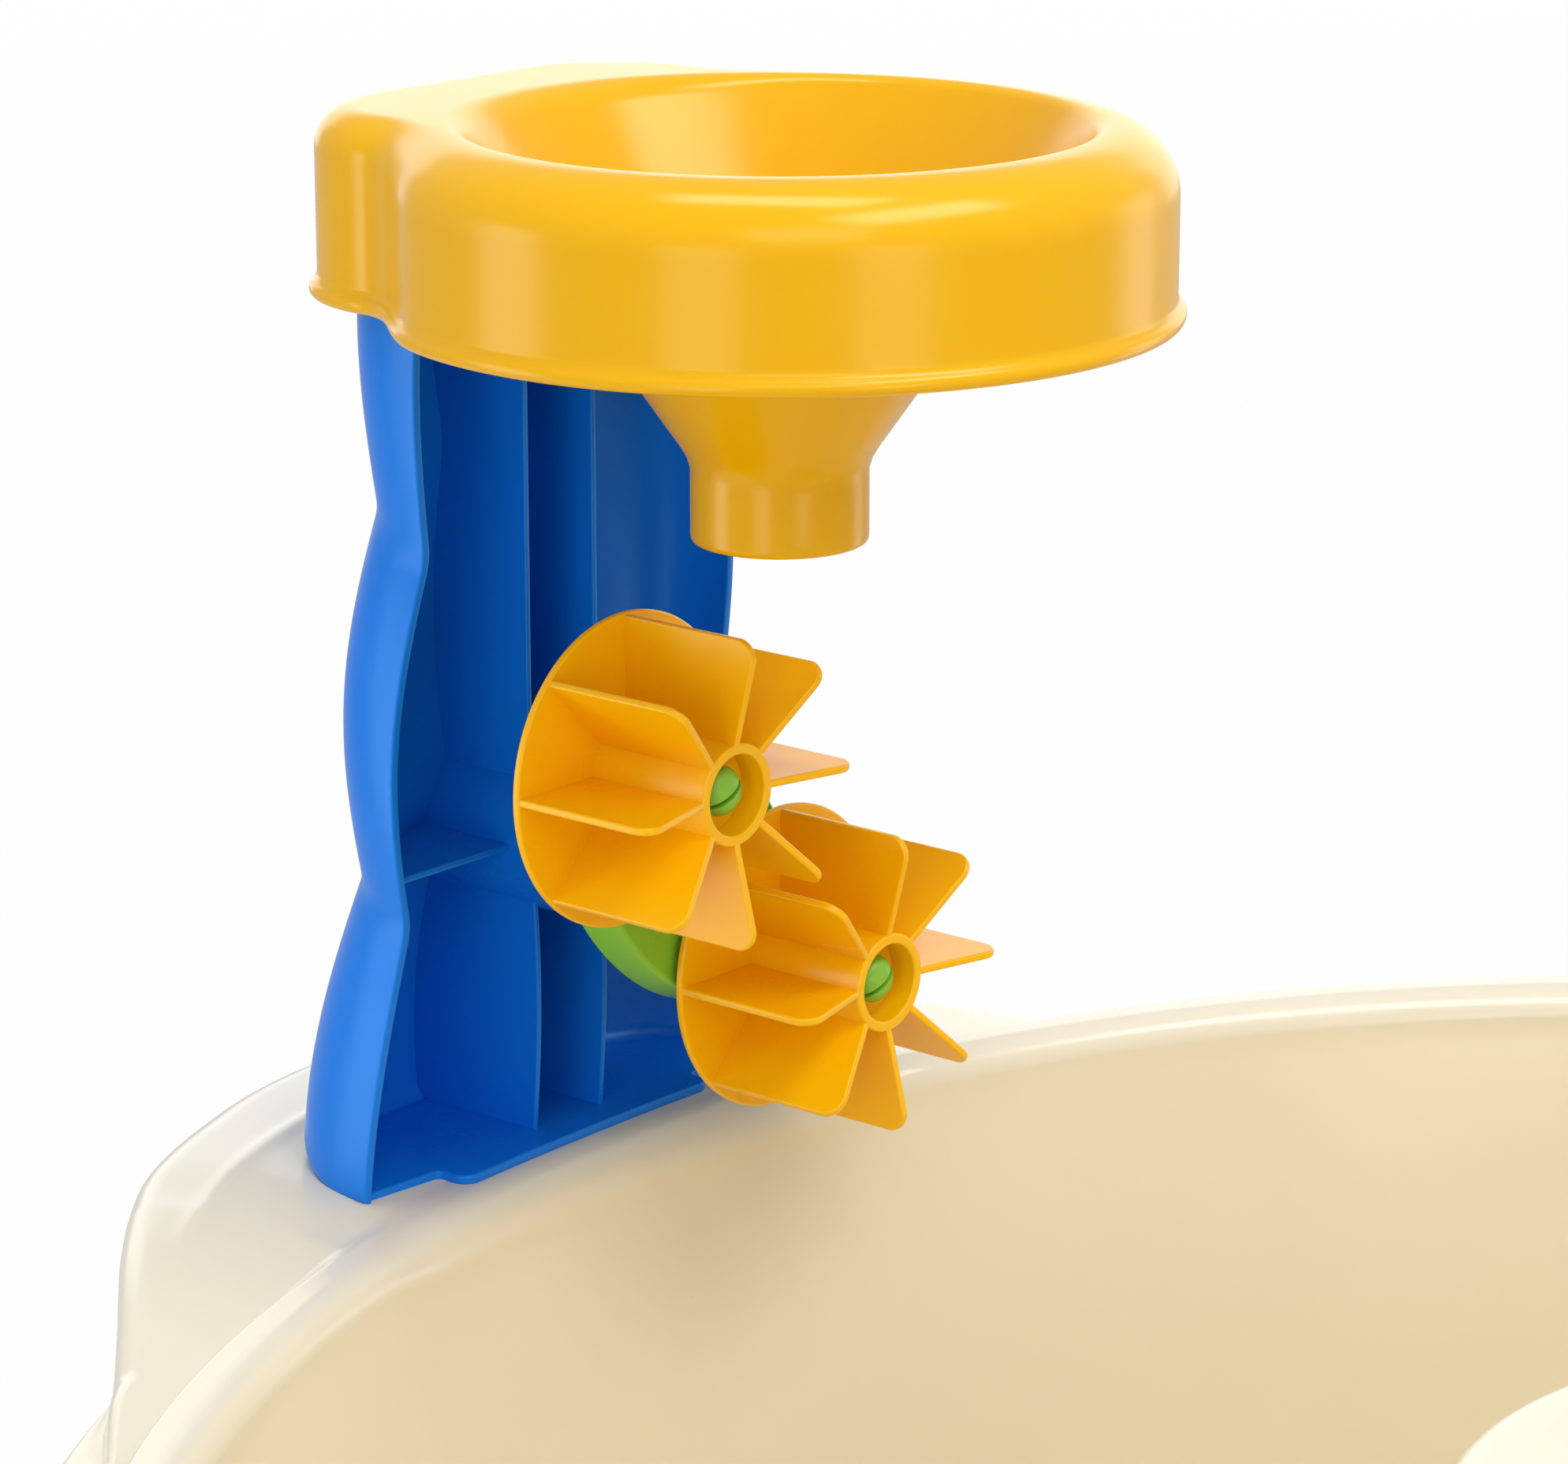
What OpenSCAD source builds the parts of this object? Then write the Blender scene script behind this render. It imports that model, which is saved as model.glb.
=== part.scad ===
// Water table for small children: a round moulded basin on four plug-in legs.
// A twisted tower stands on a shoulder of the basin and holds a pouring funnel
// above two paddle wheels, which spin on a carrier that turns on the tower.
// The origin lies on the ground at the middle of the table's box. +X points
// from the tower to the open side of the basin, +Z is up. Sizes are in mm.

/* [Basin] */
// Height of the rim's crest above the ground
rim_h = 430; // [400:5:480]
// Radius of the rim's crest
rim_r = 348; // [335:1:370]
// Width of the flat on the crest
crest_flat = 3; // [1:0.5:8]
// Radius of the rim's rounded inner edge
rim_roll = 8; // [6:0.5:12]
// Radius of the rim's rounded outer edge
rim_round = 19; // [12:1:24]
// Height of the band around the outside of the rim
rim_band = 50; // [36:1:70]
// Depth of the basin below the crest
basin_depth = 155; // [140:1:175]
// Wall of the basin moulding
basin_wall = 4; // [3:0.25:5]
// How far the basin wall leans in from the rim to the floor
wall_lean = 26; // [16:1:36]
// Radius between the wall and the floor
floor_round = 34; // [25:1:45]
// Radius of the island in the middle of the basin
island_r = 94; // [80:1:110]
// Height of the island's top above the crest
island_rise = 6.4; // [0:0.2:14]
// Radius of the island's top edge
island_round = 7; // [6:0.5:12]
// How far the island widens toward the floor
island_lean = 10; // [4:1:16]
// Radius around the island's foot
island_foot_round = 14; // [8:1:20]

/* [Shoulder] */
// How far the shoulder under the tower stands out past the rim
shoulder_reach = 84; // [78:1:100]
// Half of the angle that the shoulder spans
shoulder_span = 30; // [26:1:36]
// Radius of the shoulder's top edge
shoulder_round = 19; // [10:1:24]
// How far the shoulder's deck lies below the crest
deck_drop = 0.2; // [0.1:0.1:1]

/* [Tower] */
// Sideways offset of the tower from the basin's middle
tower_shift = 10; // [-20:1:20]
// How far the tower's open front lies behind the crest
tower_setback = 11.4; // [10:0.2:18]
// Height of the tower above the deck
tower_h = 223.4; // [215:0.2:250]
// Half width of the tower at its foot, without its swells
tower_half_w = 62.4; // [56:0.2:70]
// How much narrower each side gets per mm of height
tower_taper = 0.1; // [0.05:0.01:0.14]
// Depth of the tower without its swells
tower_depth = 30; // [27:0.2:36]
// Height of the lower pinch on the near side
low_pinch = 62.4; // [54:0.2:70]
// Height of the upper pinch on the near side
high_pinch = 146.4; // [136:0.2:156]
// Height over which the top swell grows from the upper pinch
top_rise = 52; // [44:1:64]
// Sideways swell at the foot
foot_bulge = 8.2; // [4:0.2:12]
// Sideways swell between the pinches
mid_bulge = 7; // [4:0.2:10]
// Sideways swell at the top
top_bulge = 6.6; // [3:0.2:9]
// Swell of the back at the foot
foot_back = 13; // [8:0.2:18]
// Swell of the back between the pinches
mid_back = 4; // [2:0.2:8]
// Swell of the back at the top
top_back = 5.6; // [3:0.2:8]
// How much higher the pinches lie on the far side
tower_twist = 39; // [30:0.5:48]
// How square the tower's back is: 1 is an ellipse, less is squarer
tower_square = 0.71; // [0.6:0.01:1]
// Extra half width of the far side
far_side = 2.8; // [0:0.2:6]
// Wall of the tower moulding
tower_wall = 2.2; // [1.6:0.1:3]
// Thickness of the tower's inner ribs
rib_t = 1.5; // [1.2:0.1:2.2]
// Distance between the two upright ribs
rib_gap = 22.8; // [20:0.2:28]
// How far the ribs lie behind the tower's front
rib_setback = 2.2; // [1:0.2:5]
// Thickness of the tower's base plate and top plate
plate_t = 2.4; // [2:0.1:3.4]
// Half width of the tongue in front of the base plate
tongue_half_w = 42; // [34:1:50]
// Gap between the tongue and the crest
tongue_gap = 3; // [1:0.5:6]
// Height of the carrier's axle above the deck
pivot_h = 73.2; // [70:0.2:80]
// Radius of the boss that holds the carrier's axle
boss_r = 19.2; // [17:0.2:22]
// How far the boss stands out in front of the tower
boss_reach = 27.3; // [22:0.1:34]
// Length of the bearing sleeve inside the boss
sleeve_len = 26; // [20:1:32]

/* [Carrier] */
// How far the carrier reaches past each wheel axle
carrier_end = 6; // [5.5:0.25:9]
// Half width of the carrier
carrier_half_w = 28.4; // [25:0.2:34]
// Thickness of the carrier
carrier_t = 10.4; // [8:0.1:14]
// Wall of the carrier
carrier_wall = 2; // [1.6:0.1:3]
// How much the carrier narrows from its back to its front
carrier_draft = 2; // [1:0.1:3]
// Direction of the upper wheel seen from the front, in degrees
arm_angle = 133.3; // [0:0.1:360]
// Radius of the carrier's axle
axle_r = 5; // [4:0.1:6.5]

/* [Wheels] */
// Radius of a paddle wheel
wheel_r = 36; // [32:0.5:38]
// Gap between the two wheels
wheel_clear = 6; // [4:0.5:8]
// Gap between a wheel and the carrier
wheel_gap = 1.6; // [1:0.1:3]
// Thickness of a wheel's disc
disc_t = 1.8; // [1.4:0.1:2.6]
// Length of a wheel's hub in front of its disc
hub_len = 32.2; // [28:0.2:36]
// Outer radius of the hub
hub_r = 11.6; // [10.8:0.1:14]
// Wall of the hub
hub_wall = 2.5; // [1.6:0.1:3]
// Number of paddles on a wheel
paddle_count = 8; // [6:1:10]
// Thickness of a paddle
paddle_t = 1.8; // [1.4:0.1:2.6]
// How far a paddle's outer end stands forward of the hub
paddle_flare = 6.1; // [2:0.1:10]
// Radius of a paddle's front corner
paddle_corner = 4.5; // [2:0.1:7]
// Radius of a wheel's pin
pin_r = 4; // [3.2:0.1:4.6]
// How far the pin's head stands out past the pin
head_over = 1.6; // [1.2:0.1:2.2]
// Length of the pin's head
head_h = 5.6; // [4.4:0.1:6.4]
// How far the pin's head lies inside the hub
head_recess = 1.1; // [0.5:0.1:3]
// Width of the slit in the pins
slit_w = 1.2; // [0.8:0.1:1.6]
// Depth of the slit behind the head
slit_depth = 9; // [6:0.5:14]

/* [Funnel] */
// Radius of the funnel's ring
funnel_r = 86.8; // [80:0.2:92]
// Height of the funnel's skirt and crest
funnel_h = 42.7; // [38:0.1:50]
// Wall of the funnel
funnel_wall = 2.2; // [1.6:0.1:2.8]
// Radius of the ring's rounded top edge
crest_round = 15; // [13:0.5:18]
// Width of the flat on the crest
crest_w = 2.4; // [1.8:0.2:4]
// Radius from the crest into the bowl
lip_round = 15; // [12:0.5:20]
// Straight drop below that radius
lip_drop = 7.8; // [4:0.2:12]
// How far the foot bead stands out
bead_out = 1.9; // [1:0.1:3]
// Height of the foot bead
bead_h = 4; // [2:0.2:7]
// Outer radius of the spout
spout_r = 19.8; // [16:0.2:23]
// Length of the straight spout
spout_len = 18.6; // [12:0.2:22]
// Gap between the spout and the turning wheels
spout_gap = 4.3; // [3:0.1:8]
// Distance of the spout's middle in front of the wheel discs
spout_ahead = 21.6; // [16:0.2:26]
// Radius of the back tab's corners seen from above
tab_corner = 33; // [24:0.5:36]
// Radius between the tab and the ring
tab_blend = 14; // [10:0.5:20]
// Radius of the tab's top edge
tab_round = 9.4; // [7:0.2:13]
// Room between the tower and the tab's sides
tab_side = 3.2; // [2:0.2:8]
// Room between the tower and the tab's back
tab_room = 3.3; // [0.6:0.1:5]
// How far the tower reaches up into the tab
tab_overlap = 20.7; // [14:0.1:24]

/* [Legs] */
// Outer radius of a leg at its socket
leg_r = 30; // [26:0.5:34]
// Outer radius of a leg at its foot
leg_foot_r = 24; // [21:0.5:28]
// Wall of a leg
leg_wall = 3; // [2.4:0.1:4]
// Wall of a leg's socket
socket_wall = 3; // [2.4:0.1:4]
// Depth of a leg's socket
socket_depth = 45; // [34:1:60]
// Room between a socket and the basin's rounded wall
socket_room = 4; // [1:0.5:10]
// Thickness of a foot
foot_t = 8; // [6:0.5:12]
// How far a foot's edge stands out past the leg
foot_out = 2; // [1:0.25:4]
// Length of the plug that holds a foot in its leg
foot_plug = 16; // [10:1:24]

/* [Drain] */
// Radius of the drain hole
drain_r = 12; // [9:0.5:16]
// How far the plug's flange reaches past the hole
drain_flange = 6; // [4:0.5:9]
// Thickness of the plug's flange
drain_flange_t = 3; // [2:0.25:5]
// Thickness of the drain's seal
seal_t = 1.6; // [1:0.1:3]
// Height of the plug's pull tab
pull_h = 14; // [8:1:20]
// Thickness of the plug's pull tab
pull_t = 4; // [3:0.25:6]

/* [Screws] */
// Radius of a screw's shank
screw_r = 1.8; // [1.4:0.1:2.2]
// Radius of a screw's head
screw_head_r = 3.8; // [3:0.1:4.6]
// Height of a screw's head
screw_head_h = 2.4; // [1.8:0.1:3.2]
// Length of a screw's shank in the boss or wall that it grips
screw_grip = 10; // [7:0.5:12]
// Wall of a screw boss
screw_wall = 2.4; // [1.8:0.1:3]

/* [Fits] */
// Radial clearance of a turning pin
run_clear = 0.05; // [0.02:0.01:0.1]
// Radial clearance of a pressed pin or a screw
press_clear = 0.02; // [0.01:0.01:0.04]
// Clearance between pieces that plug together
plug_clear = 0.3; // [0.2:0.05:0.5]
// Gap between faces that turn past each other
face_gap = 0.3; // [0.2:0.05:0.6]

/* [Hidden] */
$fn = 64;

// Directions of the legs around the basin, in degrees from +X
front_left_angle = 225;
front_right_angle = 315;
back_left_angle = 135;
back_right_angle = 45;

// Basin: its axis is set so that the origin falls on the middle of the box
basin_x = shoulder_reach / 2;
rim_out_r = rim_r + crest_flat + rim_round;
floor_z = rim_h - basin_depth;
floor_under = floor_z - basin_wall;
island_top = rim_h + island_rise;
island_foot_r = island_r + island_lean;
wall_foot_r = rim_r - rim_roll - wall_lean;
flat_in_r = island_foot_r + island_foot_round;
flat_out_r = wall_foot_r - floor_round;
band_bottom = rim_h - rim_band;
deck_z = rim_h - deck_drop;
seam = basin_wall / 2;

// Tower: its own frame starts on the deck, in the middle of its open front
tower_x = basin_x - rim_r - tower_setback;
tower_rings = 24;
tower_steps = 12;
foot_depth = tower_depth + foot_back;
top_depth = tower_depth + top_back;
bead_z = tower_h - tab_overlap;
top_half_w = tower_half_w - tower_taper * bead_z + far_side + max(mid_bulge, top_bulge);

// Axle line, from the boss forward to the hubs
carrier_back = boss_reach + face_gap;
carrier_front = carrier_back + carrier_t;
disc_back = carrier_front + wheel_gap;
disc_front = disc_back + disc_t;
axle_half = wheel_r + wheel_clear / 2;
carrier_half_l = axle_half + carrier_end;
head_r = pin_r + head_over;
pin_sleeve_r = pin_r + hub_wall;
web_front = hub_len - head_recess - head_h - face_gap;
wheel_seat = wheel_gap - face_gap;
socket_tube_r = pin_r + carrier_wall;
axle_tube_r = axle_r + carrier_wall;
axle_head_h = head_over * 2;
oval_steps = 48;

// Funnel: its own frame starts on its axis, at the foot of its bead
funnel_x = disc_front + spout_ahead;
spout_bottom = pivot_h + axle_half + wheel_r + spout_gap - bead_z;
throat_z = spout_bottom + spout_len;
spout_in_r = spout_r - funnel_wall;
bowl_r = funnel_r - crest_round - crest_w;
mouth_r = bowl_r - lip_round;
tab_rear = funnel_x + top_depth + tab_room + funnel_wall;
tab_half_w = top_half_w + tab_side + funnel_wall;
blend_x = -sqrt(pow(funnel_r + tab_blend, 2) - pow(tab_half_w + tab_blend, 2));
blend_angle = asin((tab_half_w + tab_blend) / (funnel_r + tab_blend));
corner_r = min(tab_corner, tab_rear + blend_x);
crest_seam = crest_w / 6;
ring_steps = 12;

// Screws: two hold the tower from below the deck and two hold the funnel
boss_out_r = screw_r + screw_wall;
screw_hole_r = screw_r + press_clear;
tower_screw_x = -foot_depth + tower_wall + plate_t + 2 * boss_out_r;
tower_screw_y = rib_gap / 2 - boss_out_r;
funnel_screw_x = -top_depth / 2;
funnel_screw_y = rib_gap / 2 + rib_t + 2 * boss_out_r;
slot_w = screw_head_r / 4;

// Legs
socket_in_r = leg_r - socket_wall;
spigot_r = socket_in_r - plug_clear;
spigot_in_r = spigot_r - leg_wall;
socket_bottom = floor_under - socket_depth;
spigot_top = floor_under - plug_clear;
leg_ring_r = flat_out_r - leg_r - socket_room;
foot_in_r = leg_foot_r - leg_wall;
leg_screw_z = socket_bottom + socket_depth / 2;
pad_r = screw_head_r + screw_wall / 2;
pad_end = leg_r + screw_wall / 2;

// Drain, on the flat floor opposite the tower
drain_ring_r = (flat_in_r + flat_out_r) / 2;
drain_x = basin_x + drain_ring_r;
drain_out_r = drain_r + drain_flange;

function arc(centre, radius, from, to, steps = 6) =
    [for (i = [0:steps]) let (a = from + (to - from) * i / steps) centre + radius * [cos(a), sin(a)]];

function reversed(list) = [for (i = [len(list) - 1:-1:0]) list[i]];

// A solid through a row of closed loops that all have the same number of points.
// The row is capped at both ends, or joined into a ring. The loops of a bent wall
// run along one face and back along the other, so their caps are strips.
module skin(loops, ring = false, bent = false) {
    size = len(loops[0]);
    rows = len(loops);
    last = ring ? rows - 1 : rows - 2;
    cap = bent
        ? [for (j = [0:size / 2 - 2]) each [[j, j + 1, size - 1 - j], [j + 1, size - 2 - j, size - 1 - j]]]
        : [[for (j = [0:size - 1]) j]];
    far_cap = [for (face = cap) [for (j = reversed(face)) j + (rows - 1) * size]];
    sides = [for (i = [0:last], j = [0:size - 1])
        let (a = i * size, b = (i + 1) % rows * size, k = (j + 1) % size)
        each [[a + j, b + j, b + k], [a + j, b + k, a + k]]];
    caps = ring ? [] : concat(cap, far_cap);
    polyhedron(points = [for (loop = loops) each loop], faces = concat(sides, caps), convexity = 6);
}

// Section of the basin, as a line at a given depth below its upper surface
function basin_line(depth) = concat(
    [[0, island_top - depth]],
    arc([island_r - island_round, island_top - island_round], island_round - depth, 90, 0, 4),
    arc([flat_in_r, floor_z + island_foot_round], island_foot_round + depth, 180, 270, 4),
    arc([flat_out_r, floor_z + floor_round], floor_round + depth, 270, 360),
    arc([rim_r, rim_h - rim_roll], rim_roll - depth, 180, 90),
    arc([rim_r + crest_flat, rim_h - rim_round], rim_round - depth, 90, 0),
    [[rim_out_r - depth, band_bottom]]);

// Outer radius of the shoulder at an angle from the tower's direction.
// It starts just inside the rim's band and swells out in one smooth bell.
function shoulder_r(angle) =
    rim_out_r - seam + (shoulder_reach + seam) * (1 + cos(180 * angle / shoulder_span)) / 2;

// Loop of the shoulder's section at that angle: deck, rounded edge and band
function shoulder_loop(angle) =
    let (
        out = shoulder_r(angle),
        round = min(shoulder_round, out - rim_r - seam / 2),
        edge = [out - round, deck_z - round],
        section = concat(
            [[rim_r, deck_z - basin_wall], [rim_r, deck_z]],
            arc(edge, round, 90, 0),
            [[out, band_bottom], [out - basin_wall, band_bottom]],
            arc(edge, round - basin_wall, 0, 90)),
        turn = 180 + angle - asin(tower_shift / rim_r)
    )
    [for (p = section) [p.x * cos(turn), p.x * sin(turn), p.y]];

module leg_place(angle) {
    translate([basin_x, 0, 0])
        rotate([0, 0, angle])
            translate([leg_ring_r, 0, 0])
                children();
}

// The screw's axis runs from its head at the origin along -X
module leg_screw_place(angle) {
    leg_place(angle)
        translate([pad_end, 0, leg_screw_z])
            children();
}

module rod_x(length, radius) {
    rotate([0, 90, 0])
        cylinder(h = length, r = radius);
}

module each_leg() {
    for (angle = [front_left_angle, front_right_angle, back_left_angle, back_right_angle]) {
        $leg = angle;
        children();
    }
}

module basin() {
    color("cornsilk") difference() {
        union() {
            translate([basin_x, 0, 0]) {
                difference() {
                    rotate_extrude()
                        polygon(concat(basin_line(0), reversed(basin_line(basin_wall))));
                    shoulder_gap();
                }
                skin([for (angle = [-shoulder_span:shoulder_span / 10:shoulder_span]) shoulder_loop(angle)]);
            }
            each_leg() {
                leg_place($leg) translate([0, 0, socket_bottom]) cylinder(h = socket_depth + seam, r = leg_r);
                leg_screw_place($leg) translate([-socket_wall, 0, 0]) rod_x(socket_wall, pad_r);
            }
        }
        each_leg() {
            leg_place($leg) translate([0, 0, socket_bottom - seam])
                cylinder(h = socket_depth + seam, r = socket_in_r);
            leg_screw_place($leg) translate([-2 * socket_wall, 0, 0])
                rod_x(3 * socket_wall, screw_hole_r);
        }
        translate([drain_x, 0, floor_under - seam]) cylinder(h = 2 * basin_wall, r = drain_r);
        tower_screw_place() translate([0, 0, -2 * basin_wall])
            cylinder(h = 3 * basin_wall, r = screw_hole_r);
    }
}

// The band of the rim stops where the shoulder takes its place
module shoulder_gap() {
    side = rim_r + shoulder_reach;
    half = shoulder_span * 0.8;
    middle = 180 - asin(tower_shift / rim_r);
    translate([0, 0, band_bottom - seam])
        linear_extrude(rim_band + 2 * seam)
            difference() {
                polygon([[0, 0], side * [cos(middle - half), sin(middle - half)],
                    side * [cos(middle), sin(middle)] / cos(half),
                    side * [cos(middle + half), sin(middle + half)]]);
                circle(r = rim_r + crest_flat);
            }
}

// Swell of the tower at a height: a quarter wave at the foot, a half wave
// between the pinches and a quarter wave toward the top
function swell(z, foot, mid, top) =
    z < low_pinch ? foot * cos(90 * z / low_pinch) :
    z < high_pinch ? mid * sin(180 * (z - low_pinch) / (high_pinch - low_pinch)) :
    top * sin(min(90, 90 * (z - high_pinch) / top_rise));

// Point of the tower's wall at a height and an angle around its back,
// from 0 at the near front edge to 180 at the far front edge
function tower_point(z, angle, inset) =
    let (
        level = z - tower_twist * angle / 180,
        w = tower_half_w - tower_taper * z + far_side * angle / 180
            + swell(level, foot_bulge, mid_bulge, top_bulge) - inset,
        d = tower_depth + swell(level, foot_back, mid_back, top_back) - inset
    )
    [-d * pow(sin(angle), tower_square), -w * sign(cos(angle)) * pow(abs(cos(angle)), tower_square), z];

function tower_arc(z, inset) =
    [for (i = [0:tower_steps]) tower_point(z, 180 * i / tower_steps, inset)];

function tower_levels() = [for (i = [tower_rings:-1:0]) tower_h * i / tower_rings];

// Everything in front of the middle of the tower's wall
module tower_inside() {
    inset = tower_wall / 2;
    front = boss_reach + plate_t;
    skin([for (z = tower_levels())
        let (line = tower_arc(z, inset))
        concat(line, [line[tower_steps] + [front, 0, 0], line[0] + [front, 0, 0]])]);
}

module tower_plate(z) {
    translate([0, 0, z])
        linear_extrude(plate_t)
            polygon([for (p = tower_arc(z, tower_wall / 2)) [p.x, p.y]]);
}

module tower_place() {
    translate([tower_x, tower_shift, deck_z])
        children();
}

module tower_screw_place() {
    tower_place()
        for (side = [-1, 1])
            translate([tower_screw_x, side * tower_screw_y, 0])
                children();
}

module funnel_screw_place() {
    tower_place()
        for (side = [-1, 1])
            translate([funnel_screw_x, side * funnel_screw_y, tower_h])
                children();
}

// Ribs inside the tower: two uprights and one shelf, cut off around the boss
module tower_ribs() {
    difference() {
        union() {
            for (side = [-1, 1])
                translate([-foot_depth, side * rib_gap / 2 - rib_t / 2, plate_t / 2])
                    cube([foot_depth - rib_setback, rib_t, tower_h - plate_t]);
            translate([-foot_depth, -2 * tower_half_w, pivot_h - rib_t / 2])
                cube([foot_depth - rib_setback, 4 * tower_half_w, rib_t]);
        }
        translate([-foot_depth, 0, pivot_h]) rod_x(2 * foot_depth, boss_r - tower_wall / 2);
    }
}

module tower_boss() {
    length = boss_reach + foot_depth;
    difference() {
        translate([-foot_depth, 0, pivot_h]) rod_x(length, boss_r);
        translate([-foot_depth - plate_t, 0, pivot_h]) rod_x(length, boss_r - tower_wall);
    }
}

module tower() {
    color("royalblue") difference() {
        union() {
            tower_place() {
                skin([for (z = tower_levels()) concat(tower_arc(z, 0), reversed(tower_arc(z, tower_wall)))],
                    bent = true);
                intersection() {
                    union() {
                        tower_ribs();
                        tower_boss();
                    }
                    tower_inside();
                }
                translate([boss_reach - plate_t, 0, pivot_h]) rod_x(plate_t, boss_r - tower_wall / 2);
                translate([boss_reach - sleeve_len, 0, pivot_h]) rod_x(sleeve_len, axle_tube_r);
                tower_plate(0);
                tower_plate(tower_h - plate_t);
            }
            tower_tongue();
            tower_screw_place() cylinder(h = screw_grip + plate_t, r = boss_out_r);
        }
        tower_place() translate([boss_reach - sleeve_len - plate_t, 0, pivot_h])
            rod_x(sleeve_len + 2 * plate_t, axle_r + run_clear);
        tower_screw_place() translate([0, 0, -plate_t]) cylinder(h = screw_grip + plate_t, r = screw_hole_r);
        funnel_screw_place() translate([0, 0, -2 * plate_t]) cylinder(h = 3 * plate_t, r = screw_hole_r);
    }
}

// Tongue of the base plate, which ends in a hollow curve along the crest
module tower_tongue() {
    translate([0, 0, deck_z])
        linear_extrude(plate_t)
            difference() {
                translate([tower_x - tower_wall, tower_shift - tongue_half_w])
                    square([tower_wall + 2 * tower_setback, 2 * tongue_half_w]);
                translate([basin_x, 0]) circle(r = rim_r + tongue_gap);
            }
}

// Outline of the funnel seen from above, counter-clockwise. Each entry holds
// a point, its outward direction and the radius of the top edge there.
function funnel_outline() = concat(
    [for (i = [-ring_steps:ring_steps]) let (a = (180 - blend_angle) * i / ring_steps, way = [cos(a), sin(a)])
        [funnel_r * way, way, crest_round]],
    tab_side_line(1),
    reversed(tab_side_line(-1)));

// One side of the tab, from the ring's blend to the middle of its back
function tab_side_line(side) = concat(
    [for (i = [1:4]) let (a = blend_angle + (90 - blend_angle) * i / 4, way = [cos(a), -side * sin(a)])
        [[blend_x, side * (tab_half_w + tab_blend)] + tab_blend * way, -way,
            crest_round + (tab_round - crest_round) * i / 4]],
    [for (i = [0:6]) let (a = 90 + 15 * i, way = [cos(a), side * sin(a)])
        [[corner_r - tab_rear, side * (tab_half_w - corner_r)] + corner_r * way, way, tab_round]]);

// Loop of the funnel's wall at one entry of that outline
function funnel_loop(entry) =
    let (
        round = entry[2],
        section = concat(
            [[-funnel_wall, 0]],
            arc([-round, funnel_h - round], round - funnel_wall, 0, 90),
            [[-round - 2 * crest_seam, funnel_h - funnel_wall], [-round - 2 * crest_seam, funnel_h]],
            arc([-round, funnel_h - round], round, 90, 0),
            [[0, bead_h + bead_out], [bead_out, bead_h], [bead_out, 0]])
    )
    [for (p = section) [entry[0].x + entry[1].x * p.x, entry[0].y + entry[1].y * p.x, p.y]];

// Section of the bowl and spout, at a given depth outside its inner surface
function bowl_line(depth) = concat(
    [[bowl_r + 2 * crest_seam, funnel_h - depth]],
    arc([bowl_r, funnel_h - lip_round], lip_round - depth, 90, 180),
    [[mouth_r + depth, funnel_h - lip_round - lip_drop], [spout_in_r + depth, throat_z],
        [spout_in_r + depth, spout_bottom]]);

module funnel_place() {
    tower_place()
        translate([funnel_x, 0, bead_z])
            children();
}

module funnel() {
    outline = funnel_outline();
    deck = [for (e = outline) e[0] - e[1] * (e[2] + crest_seam)];
    color("gold") difference() {
        union() {
            funnel_place() {
                skin([for (e = outline) funnel_loop(e)], ring = true);
                rotate_extrude()
                    polygon(concat(bowl_line(0), reversed(bowl_line(funnel_wall))));
                translate([0, 0, funnel_h - funnel_wall])
                    linear_extrude(funnel_wall)
                        difference() {
                            polygon(deck);
                            circle(r = bowl_r + crest_seam);
                        }
            }
            funnel_screw_place() cylinder(h = funnel_h - tab_overlap - funnel_wall / 2, r = boss_out_r);
        }
        funnel_screw_place() translate([0, 0, -plate_t]) cylinder(h = screw_grip + plate_t, r = screw_hole_r);
    }
}

// The carrier's own frame starts on its axle, with its length along Y
module carrier_place() {
    tower_place()
        translate([0, 0, pivot_h])
            rotate([arm_angle, 0, 0])
                children();
}

// Place of a wheel: the upper one at the carrier's +Y end, the lower one opposite.
// Both wheels have their paddles upright at rest.
module wheel_place(end) {
    carrier_place()
        translate([disc_front, end * axle_half, 0])
            rotate([-arm_angle, 0, 0])
                children();
}

// Oval loop of the carrier at a distance along its axle
function oval(x, inset) =
    [for (i = [0:oval_steps - 1]) let (a = 360 * i / oval_steps)
        [x, (carrier_half_l - inset) * cos(a), (carrier_half_w - inset) * sin(a)]];

module wheel_carrier() {
    inner_back = carrier_back - carrier_wall;
    inner_front = carrier_front - carrier_wall;
    color("yellowgreen") carrier_place() difference() {
        union() {
            difference() {
                skin([oval(carrier_back, 0), oval(carrier_front, carrier_draft)]);
                skin([oval(inner_back, carrier_wall), oval(inner_front, carrier_draft + carrier_wall)]);
            }
            translate([carrier_back, 0, 0]) rod_x(carrier_t - carrier_wall / 2, axle_tube_r);
            for (end = [-1, 1]) {
                translate([carrier_back, end * axle_half, 0])
                    rod_x(carrier_t + wheel_seat, socket_tube_r);
            }
        }
        translate([inner_back, 0, 0]) rod_x(carrier_t, axle_r + press_clear);
        for (end = [-1, 1])
            translate([inner_back, end * axle_half, 0]) rod_x(2 * carrier_t, pin_r + press_clear);
    }
}

// Round head that stands on the origin along +Z: a short straight edge, then a dome
module dome(radius, length) {
    edge = length / 4;
    rotate_extrude()
        polygon(concat([[0, 0], [radius, 0]],
            [for (a = [0:15:90]) [radius * cos(a), edge + (length - edge) * sin(a)]]));
}

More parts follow.
